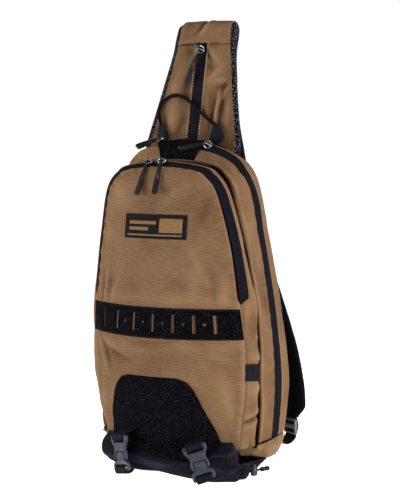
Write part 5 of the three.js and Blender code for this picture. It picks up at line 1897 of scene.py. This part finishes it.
@dataclass
class Strap:
    """The padded strap as a whole loop: mesh pad, canvas panels with a zip, and the cap over the bend."""

    form: PackForm
    thickness: float = 14.0
    bend_radius: float = 10.0
    bend_y: float = 97.0
    bend_z: float = 573.5
    bend_widths: tuple = (87, 85, 83, 79, 75)
    zip_width: float = 15.0
    zip_lean: float = -3.5
    skin_edge: float = 0.93
    left_skin_edge: float = 0.87
    left_cap_edge: float = 0.82
    left_extra: float = 7.0
    seam_z: float = 559.0
    seam_tilt: float = 3.5
    pad_steps: int = 330
    pad_sides: int = 56
    front_rows: tuple = ((0, 47.5, 402, 148), (0, 53, 427, 142), (0, 69, 494, 114), (0, 81.5, 545, 94))
    back_rows: tuple = (
        (0, 107.5, 548, 67), (0, 113, 500, 62), (0, 120, 450, 61), (6, 126, 400, 61), (18, 129, 340, 61),
        (34, 130, 285, 62), (52, 129, 230, 63), (73, 126, 175, 65), (96, 119, 115, 66), (112, 111, 68, 62),
        (123, 105.5, 31, 50),
    )
    wrinkles: tuple = folds(
        (30.5, 466, 80, 27, 2.4, 3.6), (36.5, 464, 80, 24, 3.0, -2.6), (25, 458, 80, 20, 2.8, -1.6),
        (43, 488, 58, 16, 2.6, 2.2), (46, 462, 84, 20, 3.0, 1.6), (15, 470, 96, 26, 3.4, 1.2),
        (-30, 458, 88, 22, 8.0, 2.4), (-41, 442, 80, 14, 6.0, -2.2), (-18, 446, 84, 18, 5.0, -1.6),
        (11, 543, -49, 11, 3.6, -2.2), (24, 539, -44, 12, 4.5, 2.8), (15, 525, -30, 10, 5.0, -1.6),
        (26, 514, 40, 15, 4.0, 2.4), (39, 497, 12, 9, 3.6, -2.2), (34, 506, 20, 12, 4.0, 1.8),
        (-20, 504, 84, 34, 5.0, -1.4), (-36, 500, 78, 30, 8.0, 2.2), (-24, 546, 86, 10, 5.0, -1.2),
    )
    dart: tuple = folds((-7, 579, 50, 9, 2.0, -3.2), (-1.5, 577, 50, 9, 2.5, 2.0))
    waves: tuple = (Wave(0.9, (26, 26, 34)), Wave(0.4, 12, 5))
    crumple = Crumple(53)

    def __post_init__(self) -> None:
        """Makes the middle line and the widths along it."""
        turn = np.pi * (1 - np.arange(len(self.bend_widths)) / (len(self.bend_widths) - 1))
        bend = [
            (0, self.bend_y + self.bend_radius * math.cos(a), self.bend_z + self.bend_radius * math.sin(a), w)
            for a, w in zip(turn, self.bend_widths)
        ]
        rows = np.array([*self.front_rows, *bend, *self.back_rows], float)
        self.line = Spline(rows[:, :3])
        self.width = Column(np.linspace(0, 1, len(rows)), rows[:, 3])
        self.seam = self.share(self.seam_z)

    def at(self, t: Array, across: Array, height: Array) -> Array:
        """Points of the strap.

        Formula: the middle line at share t, moved across by a share of the half width, and out by height;
        across is X made square to the line, and out is square to both.

        Args: t: shares along the strap. across: from -1 to 1. height: above the middle line, in mm.

        Returns: points in mm.
        """
        along = self.line.tangent(t)
        sideways = unit(np.array([1.0, 0, 0]) - along * along[..., :1])
        out = np.cross(sideways, along)
        round_end = np.sqrt(np.clip(1 - 0.75 * ramp(t, 0.977, 1.0) ** 2, 0, 1))
        reach = self.half(t, across) * round_end * across
        return self.line.at(t) + sideways * reach[..., None] + out * np.asarray(height)[..., None]

    def share(self, z: float) -> float:
        """The share of the front run at a height."""
        t = np.linspace(0, 0.5, 3000)
        return float(t[int(np.argmax(self.line.at(t)[:, 2] >= z))])

    def surface(self, across: Array) -> Array:
        """Half thickness of the pad at places across it."""
        return self.thickness / 2 * (1 - 0.35 * np.abs(across) ** 6)

    def paced(self, low: float, high: float, count: int) -> Array:
        """Shares from low to high, closer together round the bend: even steps of length plus turn.

        Args: low, high: the first and the last share. count: how many.

        Returns: rising shares.
        """
        t = np.linspace(low, high, 4000)
        lines = self.line.at(t), self.line.tangent(t)
        moved, turned = (np.linalg.norm(np.diff(line, axis=0), axis=1) for line in lines)
        far = np.r_[0, np.cumsum(moved + 30 * turned)]
        return np.interp(np.linspace(0, far[-1], count), far, t)

    def build(self) -> None:
        """Makes and dresses the strap's pieces."""
        self.build_pad()
        seam, low, high = self.seam, self.low_edge, self.high_edge
        left = self.skin("strap_face_left", 0, seam, low, lambda t: self.zip_edge(t, -1) - 0.01)
        right = self.skin("strap_face_right", 0, seam, lambda t: self.zip_edge(t, 1) + 0.01, high)
        cap = self.skin("strap_cap", seam + 0.0005, 1, low, high)
        lines = left.line(Edge.END_V, 2.2), right.line(Edge.START_V, 2.2)
        piece("strap_zip_stitches", [BOLD_STITCH.row(*line) for line in lines], TAN_THREAD)
        piece("strap_cap_stitches", [TRIM_STITCH.row(*cap.line(Edge.START_U, 2.4))], CANVAS)
        coil = zip_relief(seam * self.line.length, self.zip_width)
        t = seam * coil.t
        across = mix(self.zip_edge(t, -1), self.zip_edge(t, 1), coil.v)
        lift = self.form.lift + self.form.trim
        tape = self.at(t + 0 * coil.v, across, self.surface(across) + lift - 0.6)
        sheet = cloth(tape, -1, self.form.trim, relief=coil.height, hem=0.5)
        piece("strap_zip_tape", [sheet], ZIP_TAPE, "strap_zip")

    def low_edge(self, t: Array) -> Array:
        """The canvas's -X edge as a share of that half: further in towards the cap."""
        return -mix(self.left_skin_edge, self.left_cap_edge, ramp(t, 0, self.seam))

    def high_edge(self, t: Array) -> Array:
        """The canvas's +X edge as a share of that half."""
        return self.skin_edge + 0 * t

    def half(self, t: Array, side: Array | float) -> Array:
        """Half the width on one side: wider on the -X side of the front run."""
        wider = self.left_extra * (1 - ramp(self.line.row(t), 0.34, 0.46))
        return self.width(self.line.row(t)) / 2 + np.where(np.asarray(side) < 0, wider, 0)

    def zip_edge(self, t: Array, side: float) -> Array:
        """An edge of the zip, or its middle for side 0, as a share of the half width; it leans to -X."""
        shift = self.zip_lean * t / self.seam + side * self.zip_width / 2
        return shift / self.half(t, shift)

    def build_pad(self) -> None:
        """The pad: a rounded box along the middle line, whose section is a power curve of power four."""
        t = self.paced(0, 1, self.pad_steps)[:, None]
        a = full_turn(self.pad_sides)[None, :]
        across = np.sign(np.cos(a)) * np.sqrt(np.abs(np.cos(a)))
        height = self.thickness / 2 * np.sign(np.sin(a)) * np.sqrt(np.abs(np.sin(a)))
        ends = 1 - 0.5 * bell(t, 0.004) - 0.5 * bell(1 - t, 0.004)
        rings = self.at(t + 0 * a, across + 0 * t, height * ends)
        rings = rings + 0.35 * self.crumple(rings, 14)[..., None] * unit(rings - self.line.at(t))
        tips = np.stack([rings[0].mean(0), rings[-1].mean(0)])
        round_way = np.broadcast_to(walked(rings[len(rings) // 2]), rings.shape[:2])
        uv = np.stack([t * self.line.length + 0 * a, round_way], -1).reshape(-1, 2)
        solid = ringed(rings, tips, np.concatenate([uv, uv[:2]]))
        made = piece("strap_pad_mesh", [solid], STRAP_MESH, "strap_pad")

    def skin(self, node: str, start: float, end: float, low: Line, high: Line) -> Cloth:
        """A canvas panel on the pad's outer face.

        Formula: the pad's surface, raised by folds, soft waves, a dart at the bend and a hem at the seam.

        Args: node: the solid it stands for. start, end: shares along the strap. low, high: its edges across.

        Returns: the panel.
        """
        t = self.paced(start, end, int(max(90, (end - start) * self.pad_steps)))[:, None]
        across = mix(low(t), high(t), spaced(54, 60, 3.0)[None, :])
        at_seam = (t > self.share(500)) & (t < 0.5)
        t = t + self.seam_tilt / self.line.length * across * bell(t - self.seam, 0.02) * at_seam
        z = self.line.at(t)[..., 2]
        on_front = 1 - ramp(t, self.share(560), self.share(566))
        rise = rise_of(self.wrinkles, across * 58, z) * on_front
        rise = rise + self.crumple.waves(self.at(t, across, 0 * across), *self.waves)
        rise = rise + rise_of(self.dart, across * 44, z) * (t < 0.5)
        below = (self.seam - t) * self.line.length
        hem = np.where(below > 0, -1.7 * bell(below, 2.6), 1.8 * bell(below, 4))
        rise = np.clip(rise, -1.7, 4.5) + hem
        grid = self.at(t, across, self.surface(across) + self.form.lift + self.form.trim + rise)
        # Painted shading: ridges of the folds painted lighter, their valleys darker, and the front run
        # painted darker all over.
        wear_and_painted_shading = np.clip(rise / 2.0, -1.3, 1.1) - 0.25 * on_front
        sheet = cloth(grid, -1, self.form.trim, wear_and_painted_shading=wear_and_painted_shading)
        piece(node + "_canvas", [sheet], PLAIN_CANVAS, node)
        return sheet


@dataclass
class StrapEnd:
    """The strap's lower end: webbing, a two-slot adjuster and the anchor sewn to the bag's corner."""

    width: float = 25.0
    thickness: float = 2.4
    first: tuple = (0.97, -0.24, 0)
    sideways: tuple = (0.85, -0.53, 0.0)
    last: tuple = (1, 0, 0)
    down: tuple = (
        (126.5, 99, 39), (128.4, 99.4, 33), (130.6, 100, 26), (130.8, 100.1, 19), (130, 98.8, 14.5),
    )
    adjuster: tuple = (129.0, 97.0, 23.0)
    slot_z: tuple = (-5.4, 5.4)
    anchor: tuple = (
        (129, 97.4, 16), (128.5, 98.5, 9), (125, 98, 4), (121, 90, 0), (116, 82, 1), (112.5, 77.4, 6),
        (111.5, 77.0, 13),
    )

    def tape(self, points: Sequence[Point], steps: int, first: Point, last: Point) -> Cloth:
        """Webbing through points, turning from one direction across to another."""
        return strip(Spline(points).at(np.linspace(0, 1, steps)), self.width, first, last, self.thickness)

    def build(self) -> None:
        """Makes and dresses the lower end's pieces."""
        upper = self.tape(self.down, 24, self.first, self.sideways)
        piece("strap_end_tape", [upper], WEBBING, "strap_end_webbing")
        lower = self.tape(self.anchor, 50, self.sideways, self.last)
        piece("anchor_tape", [lower], WEBBING, "anchor_webbing")
        slots = [rounded_box(0, z, 25, 4.2, 1.6)[::-1] for z in self.slot_z]
        x = unit(np.array(self.sideways))
        plate = moulding(rounded_box(0, 0, 31, 22, 4), slots, 5, 1.3)
        plate = plate.turned(np.stack([x, np.cross(UP, x), UP], -1), np.array(self.adjuster))
        # The adjuster in the lighter acetal: a painted highlight.
        piece("strap_adjuster", [plate], LIT_PLASTIC, "strap_buckle", sharp=CRISP)


@dataclass
class BasePouch:
    """The stowage pouch under the front, gathered at its +X end, with its draw cord, lock and cord end."""

    form: PackForm
    profile: tuple = ((-34, 11), (-43, -6), (-36, -25), (-8, -35), (26, -28), (56, -15.0))
    left: float = -106.0
    right: float = 97.0
    rear_reach: float = 17.0
    end_rise: float = 2.0
    end_taper: float = 0.2
    end_open: float = 0.5
    end_close: float = 0.95
    sag: float = 12.0
    gathers: float = 7.0
    gather_depth: float = 2.2
    wall: float = 1.6
    waves: tuple = (Wave(2.0, (46, 17, 15)), Wave(1.0, (22, 10, 9), 13))
    stitched: tuple = (84, 88, 92, 96, 100)
    draw: tuple = (
        (99.2, -2, -19), (100.8, 2, -24), (103, 8.5, -28), (107, 13, -29), (111, 17, -29), (116, 22, -28.5),
        (119, 25, -28),
    )
    draw_diameter: float = 3.0
    lock: tuple = (
        (0.3, -9), (4.0, -9), (5.4, -8.2), (6, -6.6), (6, 4.4), (5.6, 5.8), (4.8, 6.5), (3.6, 6.5), (3.4, 7),
        (3.4, 10), (2.8, 10.8), (0.3, 11),
    )
    lock_scale: float = 0.8
    crumple = Crumple(61)

    def build(self) -> None:
        """Makes and dresses the pouch and what hangs on it."""
        u, v = spaced(150, 203, 2.0)[:, None], spaced(88, 120, 2.0)[None, :]
        grid = np.concatenate([self.closed_end(v)[::-1], self.surface(u, v), self.drawn_end(v)])
        x = grid[..., 0]
        inside = ramp(x, self.left - 3, self.left + 3) * ramp(-x, -self.right - 3, -self.right + 3)
        free = np.sin(np.pi * v) ** 0.7 * inside
        ridge = self.crumple.creases(grid + 29, (70, 22, 17))
        relief = free * (self.crumple.waves(grid, *self.waves) + 3.6 * ridge - 1.4)
        # A painted highlight on the ridges of the cloth.
        sheet = cloth(grid, 1, self.wall, relief=relief, wear_and_painted_shading=0.6 * ridge)
        piece("base_pouch_cloth", [sheet], POUCH_CLOTH, "base_pouch")
        rows = [self.stitches(sheet, x) for x in self.stitched]
        piece("pouch_stitches", rows, DARK_THREAD, slot=Slot.WEBBING)
        self.build_cord()

    def surface(self, u: Array, v: Array) -> Array:
        """The pouch's cloth: u runs from its -X to its +X end, v from the front seam round below to the rear.

        Formula: the profile in YZ, opened from the line between its seams by steps at both ends, moved back
        to the front's curve near the front seam, tilted down to +X by the sag, and waved near the +X end by
        the gathers.

        Args: u, v: shares along the pouch and round it.

        Returns: points in mm.
        """
        x = mix(self.left, self.right, u)
        further = self.rear_reach * ramp(u, 0.6, 1) * np.clip(v, 0, 1) ** 2
        curve = Spline([(0, y, z) for y, z in self.profile])
        order = np.arange(len(curve.rows))
        rows = np.interp(v, curve.rows, order)
        y, z = (np.interp(rows, order, column) for column in curve.points.T[1:])
        first_y, first_z = self.profile[0]
        front = self.form.front_y(x, np.full_like(x, first_z))
        to_seam = (front - 2.2 - first_y) * np.clip(1 - v, 0, None) ** 1.5
        seams = mix(first_z, self.profile[-1][1], v)
        opened = ramp(u, -self.end_open, self.end_taper) * ramp(1 - u, -self.end_open, self.end_taper)
        gather = self.gather_depth * np.sin(2 * np.pi * self.gathers * v) * ramp(u, 0.72, 1) * 4 * v * (1 - v)
        sag = self.sag * (u - 0.2) * np.sin(np.pi * v)
        rise = self.end_rise * ramp(u, 0.74, 1) * np.clip(1 - v, 0, 1) ** 3
        return np.stack([x + further, y + to_seam, mix(seams, z, opened) - sag + gather + rise], -1)

    def place(self, x: Array) -> Array:
        """The share along the pouch at x."""
        return (x - self.left) / (self.right - self.left)

    def closed_end(self, v: Array) -> Array:
        """The -X end: the first section drawn in to a point near its middle, as a rounded end.

        Args: v: shares round the pouch.

        Returns: rows of points, from the section inwards.
        """
        first = self.surface(np.zeros((1, 1)), v)
        w = np.linspace(0, self.end_close, 20)[1:, None, None]
        middle = first.mean((0, 1)) * np.array([1, 1, 0.4])
        closed = mix(first, middle, arc(w))
        closed[..., 0] -= 7.0 * w[..., 0] * np.sin(np.pi * v) ** 0.5
        return closed

    def drawn_end(self, v: Array) -> Array:
        """The +X end, drawn together by the cord.

        Formula: the last section shrinks to the cord's hole, swells a little, and is waved by the gathers.

        Args: v: shares round the pouch.

        Returns: rows of points, from the section to the hole.
        """
        last = self.surface(np.ones((1, 1)), v)
        w = np.linspace(0, self.end_close, 26)[1:, None, None]
        hole = np.array(self.draw[0]) - np.array([1.0, 0, 0])
        drawn = mix(last, hole, w)
        w, bow = w[..., 0], np.sin(np.pi * v)
        drawn[..., 0] += (9.0 * np.sin(np.pi * w * 0.9)) * (0.4 + 0.6 * bow)
        waves = 3.0 * np.sin(2 * np.pi * 9 * v + 1.0) * np.sin(np.pi * np.minimum(w + 0.15, 1)) * bow
        return drawn + waves[..., None] * unit(np.array([0.9, 0.2, 0.4]))

    def stitches(self, sheet: Cloth, x: float) -> Solid:
        """A row of stitches down the front of the pouch at one place along it.

        Args: sheet: the pouch's cloth. x: the place.

        Returns: the stitches.
        """
        i = int(np.argmin(np.abs(sheet.outer[:, 20, 0] - x)))
        j = slice(4, int(0.42 * sheet.outer.shape[1]))
        return POUCH_STITCH.row(sheet.outer[i, j], sheet.normal[i, j])

    def build_cord(self) -> None:
        """The draw cord, the lock it runs through, and its moulded end."""
        curve = Spline(self.draw)
        path = curve.at(np.linspace(0, 1, 40))
        rope = piece("draw_cord_braid", [tube(path, self.draw_diameter / 2, 14, UP)], CORD, "draw_cord")
        before, after, tip = np.array(self.draw[-3:], float)
        along = unit(after - before)
        basis = np.stack([along, np.cross(UP, along), UP], -1)
        barrel = lathe(self.lock, 28).turned(basis * self.lock_scale, mix(before, after, 0.5))
        lock = piece("cord_lock_barrel", [barrel], GREY_PLASTIC, "cord_lock", sharp=CRISP)
        w = np.linspace(0, 1, 24)
        bead = tip + unit(tip - after) * (0.4 + 14.4 * w)[:, None]
        swell = 3.2 * np.sqrt(np.clip(1 - (2 * w - 1) ** 6, 0.02, 1)) * (1 - 0.16 * bell(w - 0.5, 0.1))
        end = piece("cord_end_bead", [tube(bead, swell, 20, UP)], RUBBER, "cord_end", slot=Slot.CORD)
        row = (path + ROW_SHIFT) * MM


@dataclass(frozen=True)
class BuckleSeat:
    """A base buckle: its side, its middle, its turn and lean in degrees, and where its webbing is sewn."""

    side: str
    at: Point
    turn: float
    lean: float
    sewn_x: float
    sewn_z: float

    def basis(self) -> Array:
        """Its axes as columns: a lean about Y, then a turn about Z.

        Returns: a matrix of three by three.
        """
        turn, lean = math.radians(self.turn), math.radians(-self.lean)
        cos, sin = math.cos(turn), math.sin(turn)
        about_z = np.array([(cos, -sin, 0), (sin, cos, 0), (0, 0, 1)])
        cos, sin = math.cos(lean), math.sin(lean)
        return about_z @ np.array([(cos, 0, sin), (0, 1, 0), (-sin, 0, cos)])


@dataclass
class BaseBuckles:
    """The two side-release buckles at the base, fastened, and their short webbing loops."""

    form: PackForm
    thickness: float = 6.0
    corner: float = 2.2
    bevel: float = 1.5
    scale: tuple = (0.92, 0.92, 0.8)
    webbing: float = 25.0
    webbing_thickness: float = 1.5
    sewn_clear: float = 5.6
    seats: tuple = (
        BuckleSeat("left", (-61, -49, -9), -18, 9, -54, 22),
        BuckleSeat("right", (66, -49, -9), 24, 19, 57, 20),
    )
    plug: tuple = (
        (18, 29), (18, 18), (14, 11), (12, 5), (14.5, -5), (13.5, -12), (11, -14.5), (9.9, -13.5), (11, -6),
        (9, 0.6),
    )
    plug_slot: tuple = (0, 20.5, 25.4, 8, 2.4)
    socket: tuple = (
        (7.6, 0), (9.4, -6), (8.4, -15.5), (14.5, -16.5), (17.5, -21), (17.5, -31.5), (15.5, -33.5),
    )
    socket_slot: tuple = (0, -25.5, 25.4, 6, 2.4)
    upper: tuple = ((0, 1, 31.8), (0, -4.4, 29), (0, -4.6, 24), (0, -1, 20.4), (0, 5, 21.4), (0, 8, 23))
    lower: tuple = (
        (0, 6, -23), (0, 0, -24.6), (0, -4.4, -27.4), (0, -4.8, -31.5), (0, -3.4, -36), (0, 1, -37.5),
        (0, 8, -36), (0, 14, -31),
    )

    def body(self, half: Outline, slot: Sequence[float]) -> Solid:
        """A moulded half of the buckle, from the +x side of its outline, top first, and its webbing slot."""
        outline = rounded([*((-x, z) for x, z in half), *reversed(half)], self.corner)
        return moulding(outline, [rounded_box(*slot)[::-1]], self.thickness, self.bevel)

    def build(self) -> None:
        """Makes and dresses both buckles."""
        plug, socket = self.body(self.plug, self.plug_slot), self.body(self.socket, self.socket_slot)
        rib = moulding(rounded_box(0, -8, 9, 13, 2), [], 1.6, 0.6).moved((0, -self.thickness / 2, 0))
        for seat in self.seats:
            basis, at = seat.basis(), np.array(seat.at, float)
            name = "buckle_" + seat.side
            parts = [part.turned(basis * self.scale, at) for part in (plug, socket, rib)]
            piece(name + "_plug_moulding", parts[:1], GREY_PLASTIC, name + "_plug", sharp=CRISP)
            piece(name + "_socket_moulding", parts[1:], GREY_PLASTIC, name + "_socket", sharp=CRISP)
            point, _ = self.form.front(np.array([seat.sewn_x], float), np.array([seat.sewn_z], float))
            sewn = point[0] + np.array([0, -self.sewn_clear, 0])
            upper, lower = (np.array(p, float) * self.scale @ basis.T + at for p in (self.upper, self.lower))
            for end, points in (("upper", np.concatenate([[sewn], upper])), ("lower", lower)):
                path = Spline(points).at(np.linspace(0, 1, 60))
                width = self.webbing * self.scale[0]
                tape = strip(path, width, basis[:, 0], basis[:, 0], self.webbing_thickness)
                node = f"base_webbing_{seat.side}_{end}"
                piece(node + "_tape", [tape], WEBBING, node)


@dataclass(frozen=True)
class ZipHead:
    """A zip slider: its name, zip and x, the point its pull hangs towards, and the pull's roll in degrees."""

    name: str
    on: ZipLine
    x: float
    toward: Point
    roll: float = 0.0


@dataclass
class ZipHeads:
    """The five zip sliders, and their moulded pulls on cord loops."""

    form: PackForm
    strap: Strap
    rise: float = 5.9
    size: float = 1.25
    strap_z: float = 549.0
    sharp: float = 40.0
    heads: tuple = (
        ZipHead("pocket_left", ZipLine.POCKET, -23, (-30, -54, 352)),
        ZipHead("pocket_right", ZipLine.POCKET, -2, (-1, -56, 352)),
        ZipHead("main_left", ZipLine.MAIN, -42, (-44, -28, 416), 62),
        ZipHead("main_right", ZipLine.MAIN, 40, (37, -26, 417)),
        ZipHead("strap", ZipLine.STRAP, 0, (-18, 54, 499)),
    )
    plate: tuple = (
        (5.6, -2.6), (5.2, 3.6), (1.6, 4.5), (-1.6, 4.5), (-5.2, 3.6), (-5.6, -2.6), (-2.2, -4.3),
        (2.2, -4.3),
    )
    tab: tuple = (
        (-2.2, -10), (-3.2, -22), (-4.2, -42), (-4.2, -54), (4.2, -54), (4.2, -42), (3.2, -22), (2.2, -10),
    )
    ridges: tuple = (-36, -39, -42, -45)

    def strap_seat(self, clear: float) -> tuple[Array, Array]:
        """Where the strap's slider sits, this far off the pad, and the outward direction there.

        Args: clear: the distance in mm.

        Returns: the place and the direction.
        """
        strap = self.strap
        t = np.array([strap.share(self.strap_z)])
        half, middle = strap.thickness / 2, strap.zip_edge(t, 0)
        foot, above = (strap.at(t, middle, np.array([height]))[0] for height in (half, half + 1))
        return foot + (above - foot) * clear, above - foot

    def seat(self, head: ZipHead) -> tuple[Array, Array]:
        """Where a slider's bar sits, and the zip's outward direction there.

        Args: head: the slider.

        Returns: the place and the direction.
        """
        form = self.form
        clear, more = self.rise + form.lift, form.lift + form.trim
        if head.on is ZipLine.STRAP:
            return self.strap_seat(clear + form.lift + form.trim)
        on_main = head.on is ZipLine.MAIN
        on_half = (form.main if on_main else form.pocket_arch).share(lambda x, z: x < abs(head.x))
        t = 1 - on_half if head.x < 0 else on_half
        surface = functools.partial(form.side, form.main) if on_main else form.pocket
        s = float(form.zip_share(np.array([t]))[0]) if on_main else form.bevel_share / 2
        out = outward(surface, t, s)
        return surface(np.array([t]), np.array([s]))[0] + out * (clear + (more if on_main else 0.0)), out

    def build(self) -> None:
        """Makes and dresses each slider and pull."""
        for head in self.heads:
            at, out = self.seat(head)
            hang = unit(np.array(head.toward, float) - at)
            bar = unit(np.cross(hang, out))
            flat = unit(np.cross(out, bar))
            outer = unit(np.cross(bar, hang))
            axes = np.stack([bar, out, -flat], -1) * np.array([self.size, 1, self.size])
            body, *rims = (part.turned(axes, at) for part in self.slider())
            # The body in the darker nickel, painted shade; the bridge and rim in the bright nickel, a painted
            # highlight.
            piece(head.name + "_slider_body", [body], SHADED_NICKEL, head.name + "_slider", sharp=self.sharp)
            piece(head.name + "_slider_rim", rims, NICKEL)
            roll = math.radians(head.roll)
            wide = math.cos(roll) * bar + math.sin(roll) * outer
            axes = np.stack([wide, np.cross(-hang, wide), -hang], -1)
            tab = [part.turned(axes, at) for part in self.pull()]
            piece(head.name + "_pull_tab", tab, RUBBER, head.name + "_pull", sharp=self.sharp)

    def slider(self) -> list[Solid]:
        """A slider about its bar: a waisted plate, the bridge that holds the pull, and its upper rim.

        Returns: the plate, the bridge and the rim.
        """
        base = moulding(rounded(self.plate, 2.2), [], 2.2, 0.7).moved((0, 1.1 - self.rise, 0))
        a = np.linspace(0, np.pi, 24)
        bridge = np.stack([4.0 * np.cos(a), -4.6 + 4.6 * np.sin(a) ** 0.6, 0 * a], -1)
        turn = full_turn(48)
        rim = np.stack([5.0 * np.cos(turn), np.full_like(turn, 2.5 - self.rise), 4.0 * np.sin(turn)], -1)
        return [base, tube(bridge, 0.8, 12, UP), tube(rim, 0.75, 10, (0, 1, 0))]

    def pull(self) -> list[Solid]:
        """A pull hanging down -Z: a cord loop round the bar, and a tab with a window, wider at its end.

        Returns: the tab, its ridges and the loop.
        """
        tab = moulding(rounded(self.tab, 3.4), [rounded_box(0, -26, 3.0, 9, 1.3)[::-1]], 3.0, 1.0)
        ridges = [moulding(rounded_box(0, z, 5.4, 1.3, 0.6), [], 3.7, 0.5) for z in self.ridges]
        a = full_turn(39) + 0.1
        loop = np.stack([0 * a, 2.0 * np.sin(a), -6.0 + 7.0 * np.cos(a)], -1)
        return [tab, *ridges, tube(loop, 0.75, 10, (1, 0, 0))]


@dataclass
class HaulLoop:
    """The cord loop at the strap's foot and the folded tabs that hold its ends."""

    diameter: float = 5.0
    points: tuple = (
        (-51.5, 44.3, 445), (-57, 47, 456), (-58.5, 50.2, 469), (-53, 52.7, 479), (-44, 54.2, 485),
        (-33, 54.6, 487), (-21, 53.9, 484), (-9, 52.4, 477.5), (4, 50.1, 468), (17, 46.8, 458.5),
        (28, 44.9, 451), (37.5, 43.6, 445.5),
    )
    feet: tuple = (("left", (-45.5, 40.0, 420), 23.0), ("right", (42.5, 40.0, 420), 29.0))

    def build(self) -> None:
        """Makes and dresses the loop and its tabs."""
        curve = Spline(self.points)
        path = curve.at(np.linspace(0, 1, 120))
        rope = piece("haul_loop_braid", [tube(path, self.diameter / 2, 18, (0, 1, 0))], CORD, "haul_loop")
        row = (path + ROW_SHIFT) * MM
        w = np.linspace(0, 1, 30)
        foot_end = np.sqrt(np.clip(1 - (np.clip(w - 0.6, 0, 1) / 0.41) ** 2, 0, 1))
        for (side, foot, width), end in zip(self.feet, (self.points[0], self.points[-1])):
            head = np.array(end) + np.array([0, -0.4, 1.0])
            line = mix(head, np.array(foot), w[:, None])
            tape = tube(line, mix(4.2, width / 2, w**0.8) * foot_end, 28, (0, 1, 0), flat=0.3)
            node = "haul_tab_" + side
            piece(node + "_fold", [tape], WEBBING, node)


# The studio


def stand(made: bpy.types.Object, axes: Sequence[Array], place: Sequence[float]) -> bpy.types.Object:
    """Turns an object to three axes, its own x, y and z, and sets it in its place.

    Args: made: the object. axes: unit directions. place: in metres.

    Returns: the object.
    """
    frame = np.eye(4)
    frame[:3, :3] = np.stack(axes, -1)
    frame[:3, 3] = place
    made.matrix_world = Matrix(frame.tolist())
    return made


@dataclass
class Studio:
    """The camera at the photograph's angle, soft lights, and a pale floor."""

    azimuth: float = 31.0
    elevation: float = 4.5
    distance: float = 2400.0
    scale: float = 1.4
    middle: tuple = (176.5, 444.0)
    focal: float = 1714.0
    sensor: float = 36.0
    image: tuple = (400, 500)
    floor_z: float = -0.80
    floor_radius: float = 30.0
    ambient: float = 0.2
    aim: tuple = (0, -0.1, -0.3)
    lights: tuple = (  # name, place, size, power
        ("key", (2.6, -0.6, -0.4), 1.0, 47), ("fill", (-2.2, -1.8, -0.25), 1.4, 48),
        ("back", (0.0, 2.4, 0.1), 1.4, 16), ("top", (0.3, -0.6, 1.9), 1.2, 5),
    )

    def axes(self) -> tuple[Array, Array, Array]:
        """The camera's right, up and backward directions.

        Returns: the three, each of length 1.
        """
        a, e = math.radians(self.azimuth), math.radians(self.elevation)
        right = np.array([math.cos(a), math.sin(a), 0])
        back = np.array([math.sin(a) * math.cos(e), -math.cos(a) * math.cos(e), math.sin(e)])
        return right, np.cross(back, right), back

    def build(self) -> None:
        """Sets up the camera, the lights, the surround and the floor."""
        right, up, back = self.axes()
        width, height = self.image
        aside, above = width / 2 - self.middle[0], self.middle[1] - height / 2
        aim = right * aside * self.scale + up * above * self.scale
        lens = bpy.data.cameras.new("camera")
        lens.sensor_width = self.sensor
        lens.lens = self.focal / height * self.sensor
        lens.clip_end = 100
        place = (aim + back * self.distance + ROW_SHIFT) * MM
        bpy.context.scene.camera = stand(linked("camera", lens), (right, up, back), place)
        for row in self.lights:
            self.light(*row)
        self.build_world()
        self.build_floor()

    def light(self, name: str, place: Point, size: float, power: float) -> None:
        """A square soft light aimed at the pack's middle.

        Args: name: of the light. place, size: in metres. power: in watts.
        """
        lamp = bpy.data.lights.new(name, "AREA")
        lamp.shape = "SQUARE"
        lamp.size = size
        lamp.energy = power
        away = unit(np.array(place) - np.array(self.aim))
        side = unit(np.cross((0.0, 0.3, 1.0), away))
        stand(linked(name, lamp), (side, np.cross(away, side), away), place)

    def build_world(self) -> None:
        """An even surround, white where the camera sees it and dimmer in the light that it gives."""
        world = bpy.data.worlds.new("surround")
        world.use_nodes = True
        nodes, links = world.node_tree.nodes, world.node_tree.links
        background = nodes["Background"]
        background.inputs["Color"].default_value = (1, 1, 1, 1)
        strength = nodes.new("ShaderNodeMapRange")
        strength.inputs["To Min"].default_value = self.ambient
        links.new(nodes.new("ShaderNodeLightPath").outputs["Is Camera Ray"], strength.inputs["Value"])
        links.new(strength.outputs[0], background.inputs["Strength"])
        bpy.context.scene.world = world
        bpy.context.scene.view_settings.view_transform = "Standard"

    def build_floor(self) -> None:
        """The floor: a wide level disc."""
        turn, far = full_turn(96), self.floor_radius
        points = np.stack([far * np.cos(turn), far * np.sin(turn), np.full_like(turn, self.floor_z)], -1)
        mesh = bpy.data.meshes.new("floor")
        mesh.from_pydata(points.tolist(), [], [list(range(len(turn)))])
        board = Board("pale_floor", Roughness=0.9, Specular_IOR_Level=0.1, Emission_Color=(1, 1, 1, 1))
        grain = board.noise((300.0,) * 3, 2.0)
        colour = board.ramp(grain, (0.3, (0.93, 0.93, 0.93, 1)), (0.7, (0.96, 0.96, 0.96, 1)))
        mesh.materials.append(board.dress(colour, grain, 0.01, 0.05))
        board.link(board.signal("ShaderNodeLightPath", {}, "Is Camera Ray"), "Emission Strength")
        linked("floor", mesh)


def corners(bounds: tuple) -> list[list[float]]:
    """A box's two corners as plain numbers."""
    return [[float(x) for x in corner] for corner in bounds]


def main() -> None:
    """Loads the frame, then makes the studio and each sub-assembly in order."""
    logging.basicConfig(level=logging.INFO, format="%(name)s %(message)s")
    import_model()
    Studio().build()
    form = PackForm()
    HaulLoop().build()
    pouch = BasePouch(form)
    pouch.build()
    MainCompartment(form).build()
    BackPanel(form).build()
    FrontPocket(form).build()
    FrontTrim(form, pouch).build()
    SideAndTop(form).build()
    strap = Strap(form)
    strap.build()
    StrapEnd().build()
    BaseBuckles(form).build()
    ZipHeads(form, strap).build()
    bpy.context.view_layer.update()


if __name__ == "__main__":
    main()
